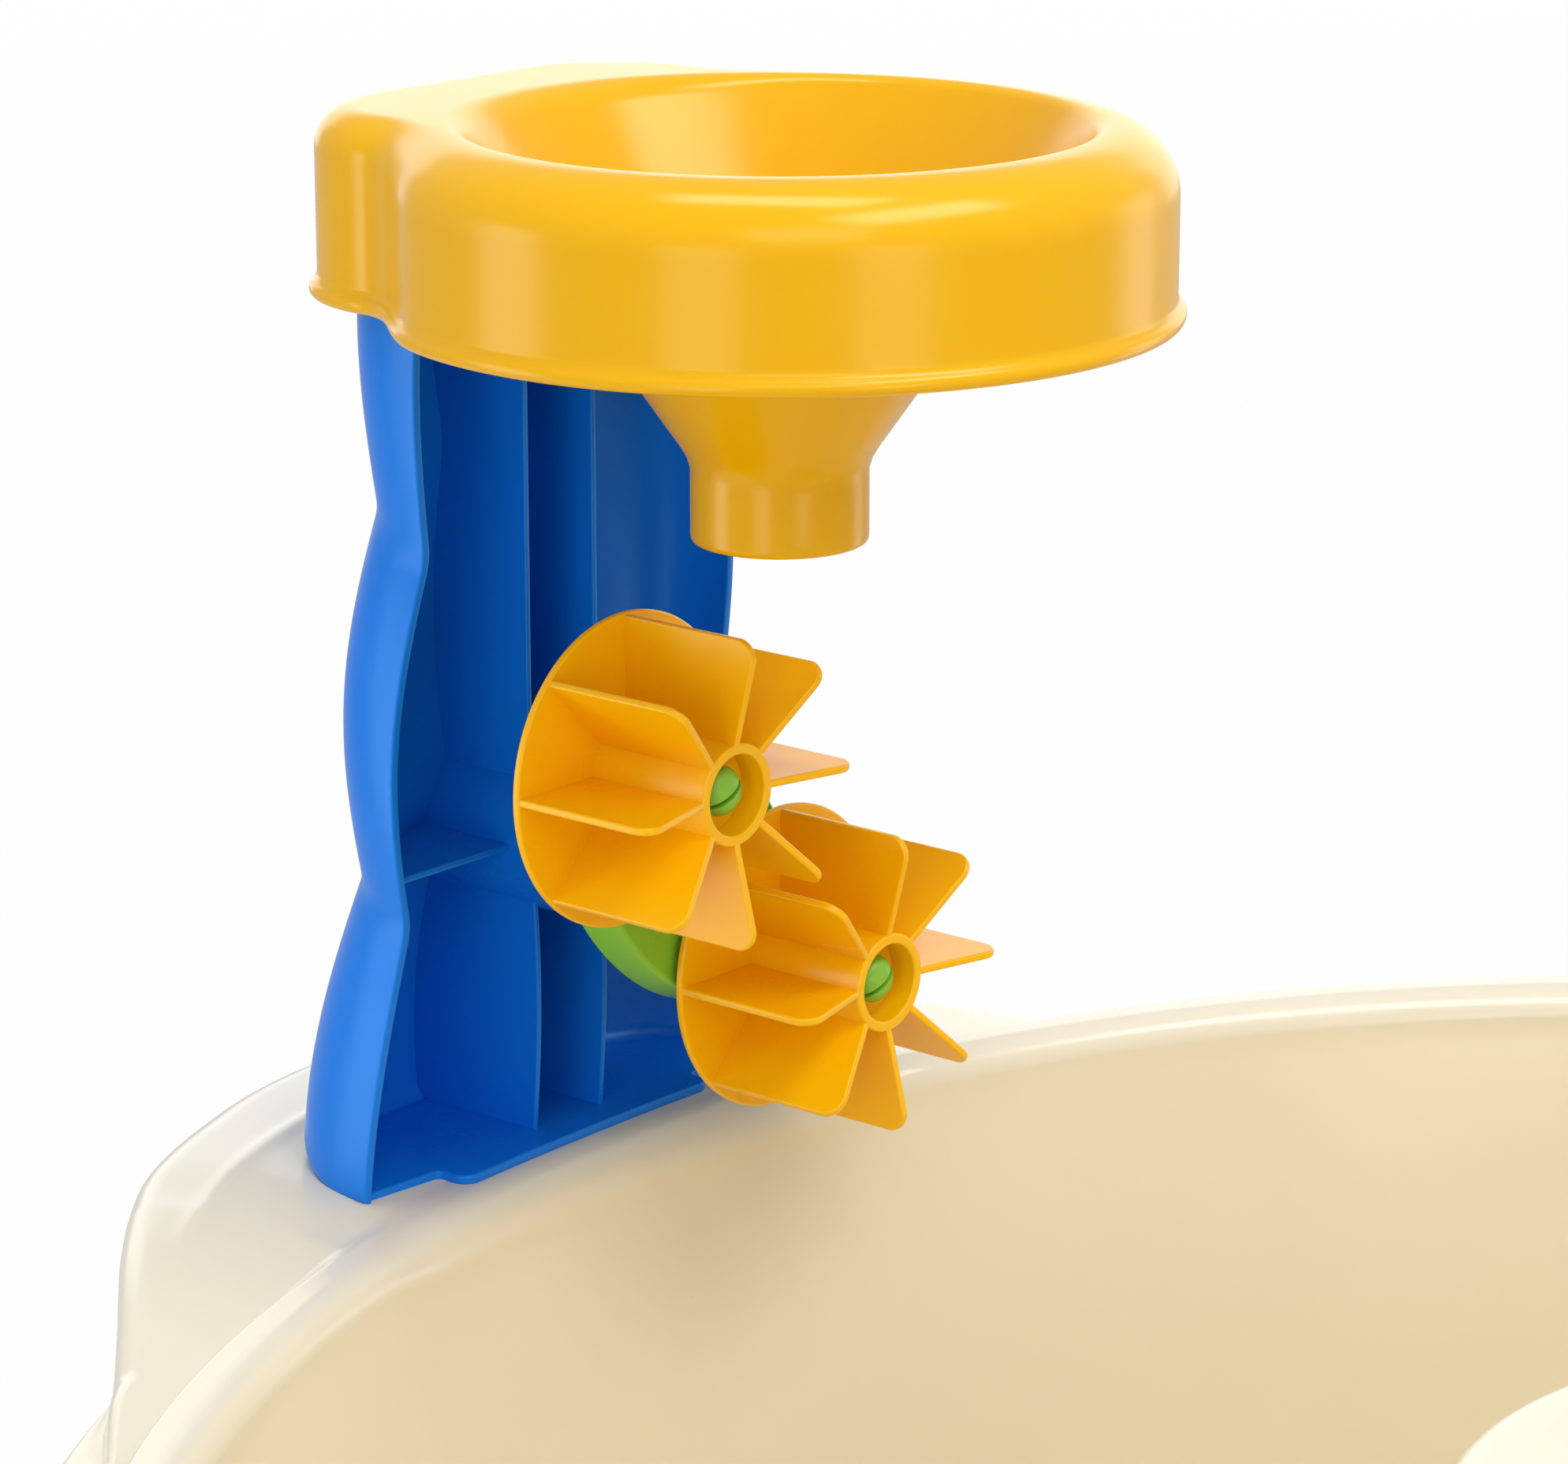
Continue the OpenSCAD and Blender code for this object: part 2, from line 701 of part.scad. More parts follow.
// The carrier's axle: pressed into the carrier, it turns in the tower's boss and
// snaps open behind the bearing sleeve
module carrier_pin() {
    sleeve_back = boss_reach - sleeve_len - face_gap;
    length = carrier_front - carrier_wall - sleeve_back;
    color("olivedrab") carrier_place() difference() {
        union() {
            translate([sleeve_back, 0, 0]) rod_x(length, axle_r);
            translate([sleeve_back, 0, 0]) rotate([0, -90, 0]) dome(axle_r + head_over / 2, axle_head_h);
        }
        translate([sleeve_back - 2 * axle_head_h, -slit_w / 2, -2 * axle_r])
            cube([2 * axle_head_h + slit_depth, slit_w, 4 * axle_r]);
    }
}

module wheel_pin(end) {
    back = carrier_back - disc_front;
    head = web_front + face_gap;
    color("olivedrab") wheel_place(end) difference() {
        union() {
            translate([back, 0, 0]) rod_x(head - back, pin_r);
            translate([head, 0, 0]) rotate([0, 90, 0]) dome(head_r, head_h);
        }
        translate([head - slit_depth, -slit_w / 2, -2 * head_r])
            cube([slit_depth + 2 * head_h, slit_w, 4 * head_r]);
    }
}

// Outline of a paddle: distance along the axle, then distance from it.
// Its front edge leans forward toward the tip and turns a round corner there.
function paddle_outline() =
    let (
        root = hub_r - hub_wall / 2,
        tip = wheel_r - disc_t / 4,
        lean = paddle_flare / (wheel_r - hub_r),
        corner_x = hub_len + lean * (tip - paddle_corner - hub_r) - paddle_corner * sqrt(1 + lean * lean)
    )
    concat(
        [[hub_len + lean * (root - hub_r), root], [-disc_t / 2, root], [-disc_t / 2, tip]],
        arc([corner_x, tip - paddle_corner], paddle_corner, 90, -atan(lean), 4));

module wheel(end) {
    color("goldenrod") wheel_place(end) difference() {
        union() {
            difference() {
                union() {
                    translate([-disc_t, 0, 0]) rod_x(disc_t, wheel_r);
                    translate([-disc_t / 2, 0, 0]) rod_x(hub_len + disc_t / 2, hub_r);
                    for (i = [0:paddle_count - 1])
                        rotate([360 * i / paddle_count, 0, 0])
                            translate([0, 0, -paddle_t / 2])
                                linear_extrude(paddle_t)
                                    polygon(paddle_outline());
                }
                translate([-2 * disc_t, 0, 0]) rod_x(2 * hub_len, hub_r - hub_wall);
            }
            translate([web_front - hub_wall, 0, 0]) rod_x(hub_wall, hub_r - hub_wall / 2);
            translate([-disc_t, 0, 0]) rod_x(web_front + disc_t, pin_sleeve_r);
        }
        translate([-2 * disc_t, 0, 0]) rod_x(2 * hub_len, pin_r + run_clear);
    }
}

module leg(angle) {
    color("cornsilk") leg_place(angle) difference() {
        rotate_extrude()
            polygon([[foot_in_r, foot_t], [leg_foot_r, foot_t], [leg_r, socket_bottom],
                [spigot_r, socket_bottom], [spigot_r, spigot_top], [spigot_in_r, spigot_top],
                [spigot_in_r, socket_bottom - leg_wall]]);
        translate([0, 0, leg_screw_z]) rod_x(leg_r, screw_hole_r);
    }
}

module foot(angle) {
    plug_r = foot_in_r - plug_clear;
    color("dimgray") leg_place(angle)
        rotate_extrude()
            polygon([[0, 0], [leg_foot_r + foot_out / 2, 0], [leg_foot_r + foot_out, foot_out / 2],
                [leg_foot_r + foot_out, foot_t - foot_out], [leg_foot_r, foot_t], [plug_r, foot_t],
                [plug_r, foot_t + foot_plug], [0, foot_t + foot_plug]]);
}

// Pan-head screw with its head below the origin and its shank along +Z
module screw(length) {
    color("silver") difference() {
        union() {
            cylinder(h = length, r = screw_r);
            mirror([0, 0, 1])
                dome(screw_head_r, screw_head_h);
        }
        for (turn = [0, 90])
            rotate([0, 0, turn])
                translate([-screw_head_r / 2, -slot_w / 2, -2 * screw_head_h])
                    cube([screw_head_r, slot_w, screw_head_h * 1.5]);
    }
}

module leg_screws() {
    each_leg()
        leg_screw_place($leg) rotate([0, -90, 0]) screw(pad_end - spigot_in_r + leg_wall);
}

module tower_screws() {
    tower_screw_place() translate([0, 0, -basin_wall]) screw(basin_wall + screw_grip - plate_t);
}

module funnel_screws() {
    funnel_screw_place() translate([0, 0, -plate_t]) screw(screw_grip);
}

// Ring of rubber under the plug's flange
module drain_seal() {
    color("dimgray") translate([drain_x, 0, floor_z]) difference() {
        cylinder(h = seal_t, r = drain_out_r);
        translate([0, 0, -seal_t]) cylinder(h = 3 * seal_t, r = drain_r + plug_clear);
    }
}

// Stopper that pulls up out of the floor by its tab
module drain_plug() {
    color("yellowgreen") translate([drain_x, 0, floor_z]) {
        rotate_extrude()
            polygon([[0, -basin_wall], [drain_r - 2 * plug_clear, -basin_wall], [drain_r - plug_clear, 0],
                [drain_r - plug_clear, seal_t + plug_clear / 3], [drain_out_r, seal_t + plug_clear / 3],
                [drain_out_r, seal_t + drain_flange_t], [0, seal_t + drain_flange_t]]);
        translate([-drain_r / 2, -pull_t / 2, seal_t + drain_flange_t / 2])
            cube([drain_r, pull_t, drain_flange_t / 2 + pull_h]);
    }
}

basin();
tower();
funnel();
wheel_carrier();
carrier_pin();
wheel(1);  // upper_wheel
wheel(-1);  // lower_wheel
wheel_pin(1);  // upper_wheel_pin
wheel_pin(-1);  // lower_wheel_pin
leg(front_left_angle);  // front_left_leg
leg(front_right_angle);  // front_right_leg
leg(back_left_angle);  // back_left_leg
leg(back_right_angle);  // back_right_leg
foot(front_left_angle);  // front_left_foot
foot(front_right_angle);  // front_right_foot
foot(back_left_angle);  // back_left_foot
foot(back_right_angle);  // back_right_foot
leg_screws();
tower_screws();
funnel_screws();
drain_plug();
drain_seal();
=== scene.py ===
# Water table for small children: the looks of each piece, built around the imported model.
import math
import bmesh
import bpy
import numpy as np
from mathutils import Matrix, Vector


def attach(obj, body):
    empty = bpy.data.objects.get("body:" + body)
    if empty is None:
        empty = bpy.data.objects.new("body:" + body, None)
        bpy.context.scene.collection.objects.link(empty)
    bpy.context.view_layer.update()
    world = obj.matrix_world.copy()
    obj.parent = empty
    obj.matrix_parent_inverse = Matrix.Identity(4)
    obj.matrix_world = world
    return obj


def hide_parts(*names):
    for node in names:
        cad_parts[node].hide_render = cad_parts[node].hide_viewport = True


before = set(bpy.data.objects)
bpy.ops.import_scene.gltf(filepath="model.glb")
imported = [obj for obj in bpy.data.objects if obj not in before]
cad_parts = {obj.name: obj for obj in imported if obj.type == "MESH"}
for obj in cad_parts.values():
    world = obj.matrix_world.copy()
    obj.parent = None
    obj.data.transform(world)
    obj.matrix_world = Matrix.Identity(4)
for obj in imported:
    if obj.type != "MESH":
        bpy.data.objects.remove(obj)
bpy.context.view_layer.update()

# Basin: one rotomoulded polyethylene moulding with a trough around a hollow island, a shoulder that
# carries the tower and four leg sockets below. Its rim is a narrow bead above a lower flange, its
# skin is satin and slightly waxy, and all its edges are soft.
MM, WELD, SLIVER, FLAT_ANGLE = 0.001, 1e-6, 4e-6, math.radians(0.02)
BASIN_X, BASIN_WALL, DECK_Z = 42.0, 4.0, 429.8
RIM_H, RIM_R, RIM_ROLL, ROLL_MORE, ROLL_FADE = 430.0, 348.0, 8.0, 4.0, (12.0, 16.0)
BEAD_OUT_R, BEAD_FOOT_R = 352.8, 359.0
RIM_ROUND, EDGE_ROUND, EDGE_FADE = 19.0, 8.5, (6.0, 15.0)
FLANGE_R, FLANGE_MORE, FLANGE_FADE, FLANGE_Z = 370.0, 13.0, (45.0, 82.0), 411.0
FLANGE_FILLET, FILLET_SHARE, FILLET_FADE = 5.0, 0.45, (0.0, 7.0)
BAND_BOTTOM, BAND_LIP, BAND_FLARE, FLARE_START, FLARE_END = 380.0, 1.2, 0.116, (4.0, 9.0), (19.0, 24.0)
SHOULDER_WAY, PLAN_BLUR = 178.35, 1.6
SHOULDER_PLAN = ((0.0, 4.0, 8.0, 11.7, 14.2, 17.0, 19.6, 22.0,
                  24.5, 27.0, 29.0, 31.0, 33.0, 35.0, 37.0, 40.0),
                 (454.4, 450.5, 441.0, 427.5, 416.5, 405.5, 395.0, 387.0,
                  380.0, 374.5, 369.5, 365.8, 363.2, 361.7, 361.0, 361.0))
RAMP_EASE, RAMP_EASE_WAY, RAMP_WAY, RAMP_END_WAY = 0.08, 10.8, 14.4, 38.0
DECK_TILT, TILT_FADE, DECK_FALL, FALL_FADE = 0.09, (20.0, 27.0), 0.225, (13.0, 21.0)
RIDGE_REACH, RIDGE_WAY, RIDGE_BEND = 50.0, 27.0, 2.4
RIDGE_H, RIDGE_HALF_W, RIDGE_FADE = 0.7, 3.0, (14.0, 20.0)
FLOOR_Z, FLOOR_ROUND, FLAT_IN_R, FLAT_OUT_R = 275.0, 34.0, 118.0, 280.0
ISLAND_R, ISLAND_TOP, ISLAND_ROUND, ISLAND_FOOT_ROUND = 94.0, 436.4, 7.0, 14.0
ISLAND_FLAT_R, ISLAND_DIP, DIP_FADE = 86.0, 0.6, (72.0, 84.0)
LEG_RING_R, LEG_R, SOCKET_BOTTOM, SOCKET_WALL, SOCKET_EDGE = 246.0, 30.0, 226.0, 3.0, 1.0
SOCKET_FILLET = ((0.0, 5.0), (1.2, 2.6), (3.0, 1.4), (3.0, 0.0))
LEG_WAYS = {"front_left": 225.0, "front_right": 315.0, "back_left": 135.0, "back_right": 45.0}
LEG_SCREW_Z, SCREW_PAD_R, SCREW_PAD_END, SCREW_PAD_EDGE = 248.5, 5.0, 31.2, 0.4
DRAIN_X, DRAIN_R, DRAIN_EDGE, DRAIN_CUT = 241.0, 12.0, 0.7, (-9.0, 6.0)
FINE_WAY, FINE_STEP, COARSE_STEP = 42.0, 0.25, 1.0


def smooth(x, start, end):
    """Rises from 0 to 1 between two values, level at both ends."""
    t = np.clip((np.asarray(x, float) - start) / (end - start), 0.0, 1.0)
    return t * t * (3.0 - 2.0 * t)


def arc(centre, radius, start, end, steps):
    """Points on a circle between two angles in degrees."""
    a = np.radians(np.linspace(start, end, steps))
    return np.stack([centre[0] + radius * np.cos(a), centre[1] + radius * np.sin(a)], -1)


def solid(name, points, faces):
    """An object from points in millimetres and faces."""
    mesh = bpy.data.meshes.new(name)
    mesh.from_pydata((np.asarray(points, float) * MM).tolist(), [], faces)
    obj = bpy.data.objects.new(name, mesh)
    bpy.context.scene.collection.objects.link(obj)
    return obj


def loft(name, loops, ring=False):
    """A solid through closed loops of equal length, capped at its ends or joined in a ring."""
    loops = np.asarray(loops, float)
    rows, size = loops.shape[:2]
    a = np.arange(rows if ring else rows - 1)[:, None] * size
    b = (a + size) % (rows * size)
    j = np.arange(size)[None, :]
    k = (j + 1) % size
    faces = np.stack([a + j, a + k, b + k, b + j], -1).reshape(-1, 4).tolist()
    if not ring:
        faces += [list(range(size))[::-1], list(range((rows - 1) * size, rows * size))]
    obj = solid(name, loops.reshape(-1, 3), faces)
    shell = bmesh.new()
    shell.from_mesh(obj.data)
    bmesh.ops.remove_doubles(shell, verts=shell.verts, dist=WELD)
    bmesh.ops.recalc_face_normals(shell, faces=shell.faces)
    shell.to_mesh(obj.data)
    shell.free()
    return obj


def turned(name, section, centre, steps=96, axis="z"):
    """A closed section of (radius, height) points turned about an upright or a lying axis."""
    section = np.asarray(section, float)
    loops = []
    for a in np.radians(np.arange(steps) * 360.0 / steps):
        r, h = section[:, 0], section[:, 1]
        x, y = r * math.cos(a), r * math.sin(a)
        loops.append(np.stack((x, y, h) if axis == "z" else (h, x, y), -1) + centre)
    return loft(name, loops, ring=True)


def combine(obj, way, *tools):
    """Joins other solids to this one, or cuts them out of it."""
    for tool in tools:
        step = obj.modifiers.new(way, "BOOLEAN")
        step.operation, step.solver, step.object = way, "MANIFOLD", tool
        shaped = obj.evaluated_get(bpy.context.evaluated_depsgraph_get())
        made = bpy.data.meshes.new_from_object(shaped)
        obj.modifiers.clear()
        obj.data = made
        bpy.data.objects.remove(tool)
    return obj


def soften(obj, sharp=32.0, flats=False):
    """Clears slivers left by cutting and joining, then sets smooth shading up to an angle. Large flats
    between rounded edges keep their own normals."""
    shell = bmesh.new()
    shell.from_mesh(obj.data)
    bmesh.ops.remove_doubles(shell, verts=shell.verts, dist=SLIVER)
    bmesh.ops.dissolve_degenerate(shell, edges=shell.edges, dist=SLIVER)
    if flats:
        bmesh.ops.dissolve_limit(shell, angle_limit=FLAT_ANGLE, verts=shell.verts, edges=shell.edges)
    shell.to_mesh(obj.data)
    shell.free()
    obj.data.shade_smooth()
    obj.data.set_sharp_from_angle(angle=math.radians(sharp))
    if flats:
        step = obj.modifiers.new("flats", "WEIGHTED_NORMAL")
        step.keep_sharp, step.weight = True, 90
    return obj


def wall_line(a):
    """Radius of the wall below the deck's edge, which narrows to the rim's bead beside the shoulder."""
    steps = np.linspace(-PLAN_BLUR, PLAN_BLUR, 9)
    return np.mean([np.interp(abs(a + step), *SHOULDER_PLAN) for step in steps])


def rim_roll(a):
    """Radius of the rim's inner edge. It is larger in front of the tower, where the rim has no crest."""
    return RIM_ROLL + ROLL_MORE * (1.0 - smooth(abs(a), *ROLL_FADE))


def deck_surface(a, d, wall, drop):
    """Top of the bead and the deck up to the wall's edge, with the ridge that runs along the deck."""
    foot = BEAD_FOOT_R - d
    shaped = 0.0 if d else 1.0
    tilt = shaped * DECK_TILT * (1.0 - smooth(a, *TILT_FADE))
    fall = shaped * DECK_FALL * (1.0 - smooth(a, *FALL_FADE))
    crest = shaped * RIDGE_H * (1.0 - smooth(a, *RIDGE_FADE))
    ridge = foot + max(1.0, RIDGE_REACH * (1.0 - (a / RIDGE_WAY) ** 2))
    start = RIM_R - RIM_ROLL + rim_roll(a)
    near = max(min(ridge - 4.0, wall - 9.0), foot + 0.6)
    far = max(min(near + 8.0, wall - 5.0), foot + 0.9)
    bend = np.sin(np.linspace(0.0, np.pi / 2.0, 35))
    r = np.concatenate([np.linspace(start, foot + 0.3, 24), np.linspace(foot + 0.3, near, 24)[1:],
                        np.linspace(near, far, 13)[1:], (far + (wall - far) * bend)[1:]])
    z = RIM_H - d - drop * smooth(r, BEAD_OUT_R - d, foot) + tilt * np.maximum(r - foot, 0.0)
    z = z - fall * (r - ridge + np.sqrt((r - ridge) ** 2 + RIDGE_BEND ** 2)) / 2.0
    return r, z + crest * np.exp(-((r - ridge) / RIDGE_HALF_W) ** 2)


def deck_line(a, d):
    """Section outside the crest, at an angle from the tower and a depth in the wall: bead, deck, ridge,
    wall, flange and band. The deck runs down beside the tower until it is the flange."""
    a, wall, level = abs(a), wall_line(a) - d, FLANGE_Z - d
    edge = max(FLANGE_R + FLANGE_MORE * (1.0 - smooth(a, *FLANGE_FADE)) - d, wall)
    ramp = np.clip((a - RAMP_WAY) / (RAMP_END_WAY - RAMP_WAY), 0.0, 1.0)
    ease = smooth(a, RAMP_EASE_WAY, RAMP_WAY)
    drop = (RIM_H - FLANGE_Z) * (RAMP_EASE * ease + (1.0 - RAMP_EASE) * ramp)
    r, z = deck_surface(a, d, wall, drop)
    round_r = RIM_ROUND - (RIM_ROUND - EDGE_ROUND) * smooth(a, *EDGE_FADE) - d
    room = (RIM_H - drop - FLANGE_Z) * (1.0 - FILLET_SHARE * smooth(edge - wall, *FILLET_FADE))
    round_r = max(0.0, min(round_r, wall - (BEAD_FOOT_R - d) - 1.0, room))
    over = np.clip(r - (wall - round_r), 0.0, round_r)
    z = z - (round_r - np.sqrt(np.maximum(round_r ** 2 - over ** 2, 0.0)))
    fillet = max(0.0, min(FLANGE_FILLET, FILLET_SHARE * (edge - wall), z[-1] - level))
    lip_r = min(EDGE_ROUND - d, 0.5 * (edge - wall))
    drop_z = np.linspace(z[-1], level + fillet, 7)[1:]
    band = np.linspace(level - lip_r, BAND_BOTTOM + BAND_LIP, 9)[1:]
    flare = BAND_FLARE * smooth(a, *FLARE_START) * (1.0 - smooth(a, *FLARE_END)) * (level - band)
    return np.concatenate([np.stack([r, z], -1), np.stack([np.full(6, wall), drop_z], -1),
                           arc((wall + fillet, level + fillet), fillet, 180, 270, 7)[1:],
                           np.linspace((wall + fillet, level), (edge - lip_r, level), 6)[1:],
                           arc((edge - lip_r, level - lip_r), lip_r, 90, 0, 10)[1:],
                           np.stack([edge + flare, band], -1)])


def basin_section(a):
    """Closed section at an angle from the tower, from the island's middle out and back below."""
    d, roll = BASIN_WALL, rim_roll(a)
    across = np.linspace(0.0, ISLAND_FLAT_R, 30)
    top = ISLAND_TOP - ISLAND_DIP * (1.0 - smooth(across, *DIP_FADE))
    crown = (ISLAND_R - ISLAND_ROUND, ISLAND_TOP - ISLAND_ROUND)
    inner_foot = (FLAT_IN_R, FLOOR_Z + ISLAND_FOOT_ROUND)
    outer_foot = (FLAT_OUT_R, FLOOR_Z + FLOOR_ROUND)
    rim = (RIM_R - RIM_ROLL + roll, RIM_H - roll)
    upper = [np.stack([across, top], -1), arc(crown, ISLAND_ROUND, 90, 0, 12),
             np.linspace((ISLAND_R, crown[1]), (FLAT_IN_R - ISLAND_FOOT_ROUND, inner_foot[1]), 14)[1:-1],
             arc(inner_foot, ISLAND_FOOT_ROUND, 180, 270, 12),
             np.linspace((FLAT_IN_R, FLOOR_Z), (FLAT_OUT_R, FLOOR_Z), 22)[1:-1],
             arc(outer_foot, FLOOR_ROUND, 270, 360, 20),
             np.linspace((FLAT_OUT_R + FLOOR_ROUND, outer_foot[1]), (RIM_R - RIM_ROLL, rim[1]), 24)[1:-1],
             arc(rim, roll, 180, 90, 16)[:-1], deck_line(a, 0.0)]
    under = [np.array([(0.0, ISLAND_TOP - d - ISLAND_DIP)]), arc(crown, ISLAND_ROUND - d, 90, 0, 5),
             arc(inner_foot, ISLAND_FOOT_ROUND + d, 180, 270, 8),
             arc(outer_foot, FLOOR_ROUND + d, 270, 360, 12),
             arc(rim, roll - d, 180, 90, 6)[:-1], deck_line(a, d)]
    outer, inner = np.concatenate(upper), np.concatenate(under)
    lip = arc((0.0, BAND_BOTTOM + BAND_LIP), BAND_LIP, 0, -180, 7)
    lip[:, 0] = np.linspace(outer[-1][0], inner[-1][0], 7)
    return np.concatenate([outer, lip[1:-1], inner[::-1]])


def socket(way):
    """A leg's socket below the floor, with the pad that takes its screw."""
    c, s = math.cos(math.radians(way)), math.sin(math.radians(way))
    spot = np.array([BASIN_X + LEG_RING_R * c, LEG_RING_R * s, 0.0])
    top, bore, middle = FLOOR_Z - BASIN_WALL / 2.0, LEG_R - SOCKET_WALL, LEG_R - SOCKET_WALL / 2.0
    low = SOCKET_BOTTOM + SOCKET_EDGE
    tube = turned("socket", [(bore, top), (bore, low), (bore + SOCKET_EDGE, SOCKET_BOTTOM),
                             (LEG_R - SOCKET_EDGE, SOCKET_BOTTOM), (LEG_R, low),
                             *((LEG_R + out, top - below) for out, below in SOCKET_FILLET)], spot)
    pad = turned("pad", [(0.0, middle), (SCREW_PAD_R, middle), (SCREW_PAD_R, SCREW_PAD_END - SCREW_PAD_EDGE),
                         (SCREW_PAD_R - SCREW_PAD_EDGE, SCREW_PAD_END), (0.0, SCREW_PAD_END)],
                 np.zeros(3), 32, "x")
    turn = np.array([[c, -s, 0.0], [s, c, 0.0], [0.0, 0.0, 1.0]])
    for v in pad.data.vertices:
        v.co = turn @ np.array(v.co) + (spot + (0.0, 0.0, LEG_SCREW_Z)) * MM
    return tube, pad


ways = np.concatenate([np.arange(-FINE_WAY, FINE_WAY, FINE_STEP),
                       np.arange(FINE_WAY, 360.0 - FINE_WAY, COARSE_STEP)])
rings = []
for way in ways:
    line = basin_section((way + 180.0) % 360.0 - 180.0)
    turn = math.radians(way + SHOULDER_WAY)
    rings.append(np.stack([BASIN_X + line[:, 0] * math.cos(turn), line[:, 0] * math.sin(turn), line[:, 1]], -1))
basin = loft("basin_moulding", rings, ring=True)
for way in LEG_WAYS.values():
    combine(basin, "UNION", *socket(way))
cut_low, cut_high = FLOOR_Z + DRAIN_CUT[0], FLOOR_Z + DRAIN_CUT[1]
drain_cut = [(0.0, cut_low), (DRAIN_R, cut_low), (DRAIN_R, FLOOR_Z - DRAIN_EDGE),
             (DRAIN_R + DRAIN_EDGE, FLOOR_Z), (DRAIN_R + DRAIN_EDGE, cut_high), (0.0, cut_high)]
combine(basin, "DIFFERENCE", turned("drain_cut", drain_cut, np.array([DRAIN_X, 0.0, 0.0])))
soften(basin, sharp=40.0)


def add_node(tree, kind, inputs=None, **settings):
    """A shader node with its settings, and with values or links on its inputs."""
    node = tree.nodes.new("ShaderNode" + kind)
    for key, value in settings.items():
        setattr(node, key, value)
    for key, value in (inputs or {}).items():
        if isinstance(value, bpy.types.NodeSocket):
            tree.links.new(value, node.inputs[key])
        else:
            node.inputs[key].default_value = value
    return node


def maths(tree, operation, *values):
    """The result of one sum on values or links."""
    return add_node(tree, "Math", dict(enumerate(values)), operation=operation).outputs[0]


def new_group(name, inputs, outputs):
    """An empty node group, with the sockets it is given and those it makes."""
    tree = bpy.data.node_groups.new(name, "ShaderNodeTree")
    for label, kind, value in inputs:
        given = tree.interface.new_socket(name=label, in_out="INPUT", socket_type="NodeSocket" + kind)
        given.default_value = value
    for label, kind in outputs:
        tree.interface.new_socket(name=label, in_out="OUTPUT", socket_type="NodeSocket" + kind)
    return tree, tree.nodes.new("NodeGroupInput").outputs, tree.nodes.new("NodeGroupOutput").inputs


def moulded_skin_group():
    """Skin of a moulding: fine peel from the tool, slow clouds of colour, and uneven polish."""
    tree, given, made = new_group(
        "moulded_skin",
        [("Colour", "Color", (0.8, 0.8, 0.8, 1.0)), ("Clouds", "Float", 0.06),
         ("Polish", "Float", 0.3), ("Peel size", "Float", 600.0)],
        [("Colour", "Color"), ("Roughness", "Float"), ("Height", "Float")])
    unevenness = 0.16
    spot = add_node(tree, "TexCoord").outputs["Object"]
    clouds = add_node(tree, "TexNoise", {"Vector": spot, "Scale": 28.0, "Detail": 3.0})
    swirl = add_node(tree, "TexNoise", {"Vector": spot, "Scale": 7.0, "Detail": 2.0, "Distortion": 0.6})
    peel = add_node(tree, "TexNoise", {"Vector": spot, "Scale": given["Peel size"], "Detail": 1.5})
    mixed = maths(tree, "ADD", clouds.outputs["Fac"], swirl.outputs["Fac"])
    lean = maths(tree, "SUBTRACT", mixed, 1.0)
    share = maths(tree, "MULTIPLY_ADD", lean, given["Clouds"], 1.0)
    shade = add_node(tree, "VectorMath", {0: given["Colour"], "Scale": share}, operation="SCALE").outputs[0]
    polish = maths(tree, "MULTIPLY_ADD", lean, unevenness, given["Polish"])
    for label, value in (("Colour", shade), ("Roughness", polish), ("Height", peel.outputs["Fac"])):
        tree.links.new(value, made[label])
    return tree


moulded_skin = moulded_skin_group()


def plastic(name, colour, polish, clouds, peel, peel_size, gloss, tint=(1.0, 1.0, 1.0)):
    """A moulded plastic with the shared skin. The tint colours its mirror-like share."""
    material = bpy.data.materials.new(name)
    material.use_nodes = True
    tree = material.node_tree
    shader = tree.nodes["Principled BSDF"]
    skin = add_node(tree, "Group", node_tree=moulded_skin)
    for key, value in (("Colour", (*colour, 1.0)), ("Clouds", clouds), ("Polish", polish), ("Peel size", peel_size)):
        skin.inputs[key].default_value = value
    bump = add_node(tree, "Bump", {"Height": skin.outputs["Height"], "Strength": peel, "Distance": MM})
    tree.links.new(skin.outputs["Colour"], shader.inputs["Base Color"])
    tree.links.new(skin.outputs["Roughness"], shader.inputs["Roughness"])
    tree.links.new(bump.outputs["Normal"], shader.inputs["Normal"])
    shader.inputs["Specular IOR Level"].default_value = gloss
    shader.inputs["Specular Tint"].default_value = (*tint, 1.0)
    return material


def dress(obj, material, body, node):
    """Gives a piece its material, the body it rides on and the node it stands for."""
    obj.data.materials.clear()
    obj.data.materials.append(material)
    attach(obj, body)
    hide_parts(node)


def add_specks(material, cells_per_m, shade):
    """Dust and tiny specks in the skin, on a share of the cells of a cell pattern."""
    rare, edge, core, strength = 0.9, 0.036, 0.016, 0.6
    tree = material.node_tree
    shader = tree.nodes["Principled BSDF"]
    colour = shader.inputs["Base Color"].links[0].from_socket
    spot = add_node(tree, "TexCoord").outputs["Object"]
    cells = add_node(tree, "TexVoronoi", {"Vector": spot, "Scale": cells_per_m})
    pick = add_node(tree, "SeparateColor", {"Color": cells.outputs["Color"]})
    chosen = maths(tree, "GREATER_THAN", pick.outputs[0], rare)
    near = add_node(tree, "MapRange", {"Value": cells.outputs["Distance"], "From Min": edge, "From Max": core})
    part = maths(tree, "MULTIPLY", maths(tree, "MULTIPLY", chosen, near.outputs[0]), strength)
    mixed = add_node(tree, "Mix", {0: part, 6: colour, 7: (*shade, 1.0)}, data_type="RGBA")
    tree.links.new(mixed.outputs[2], shader.inputs["Base Color"])


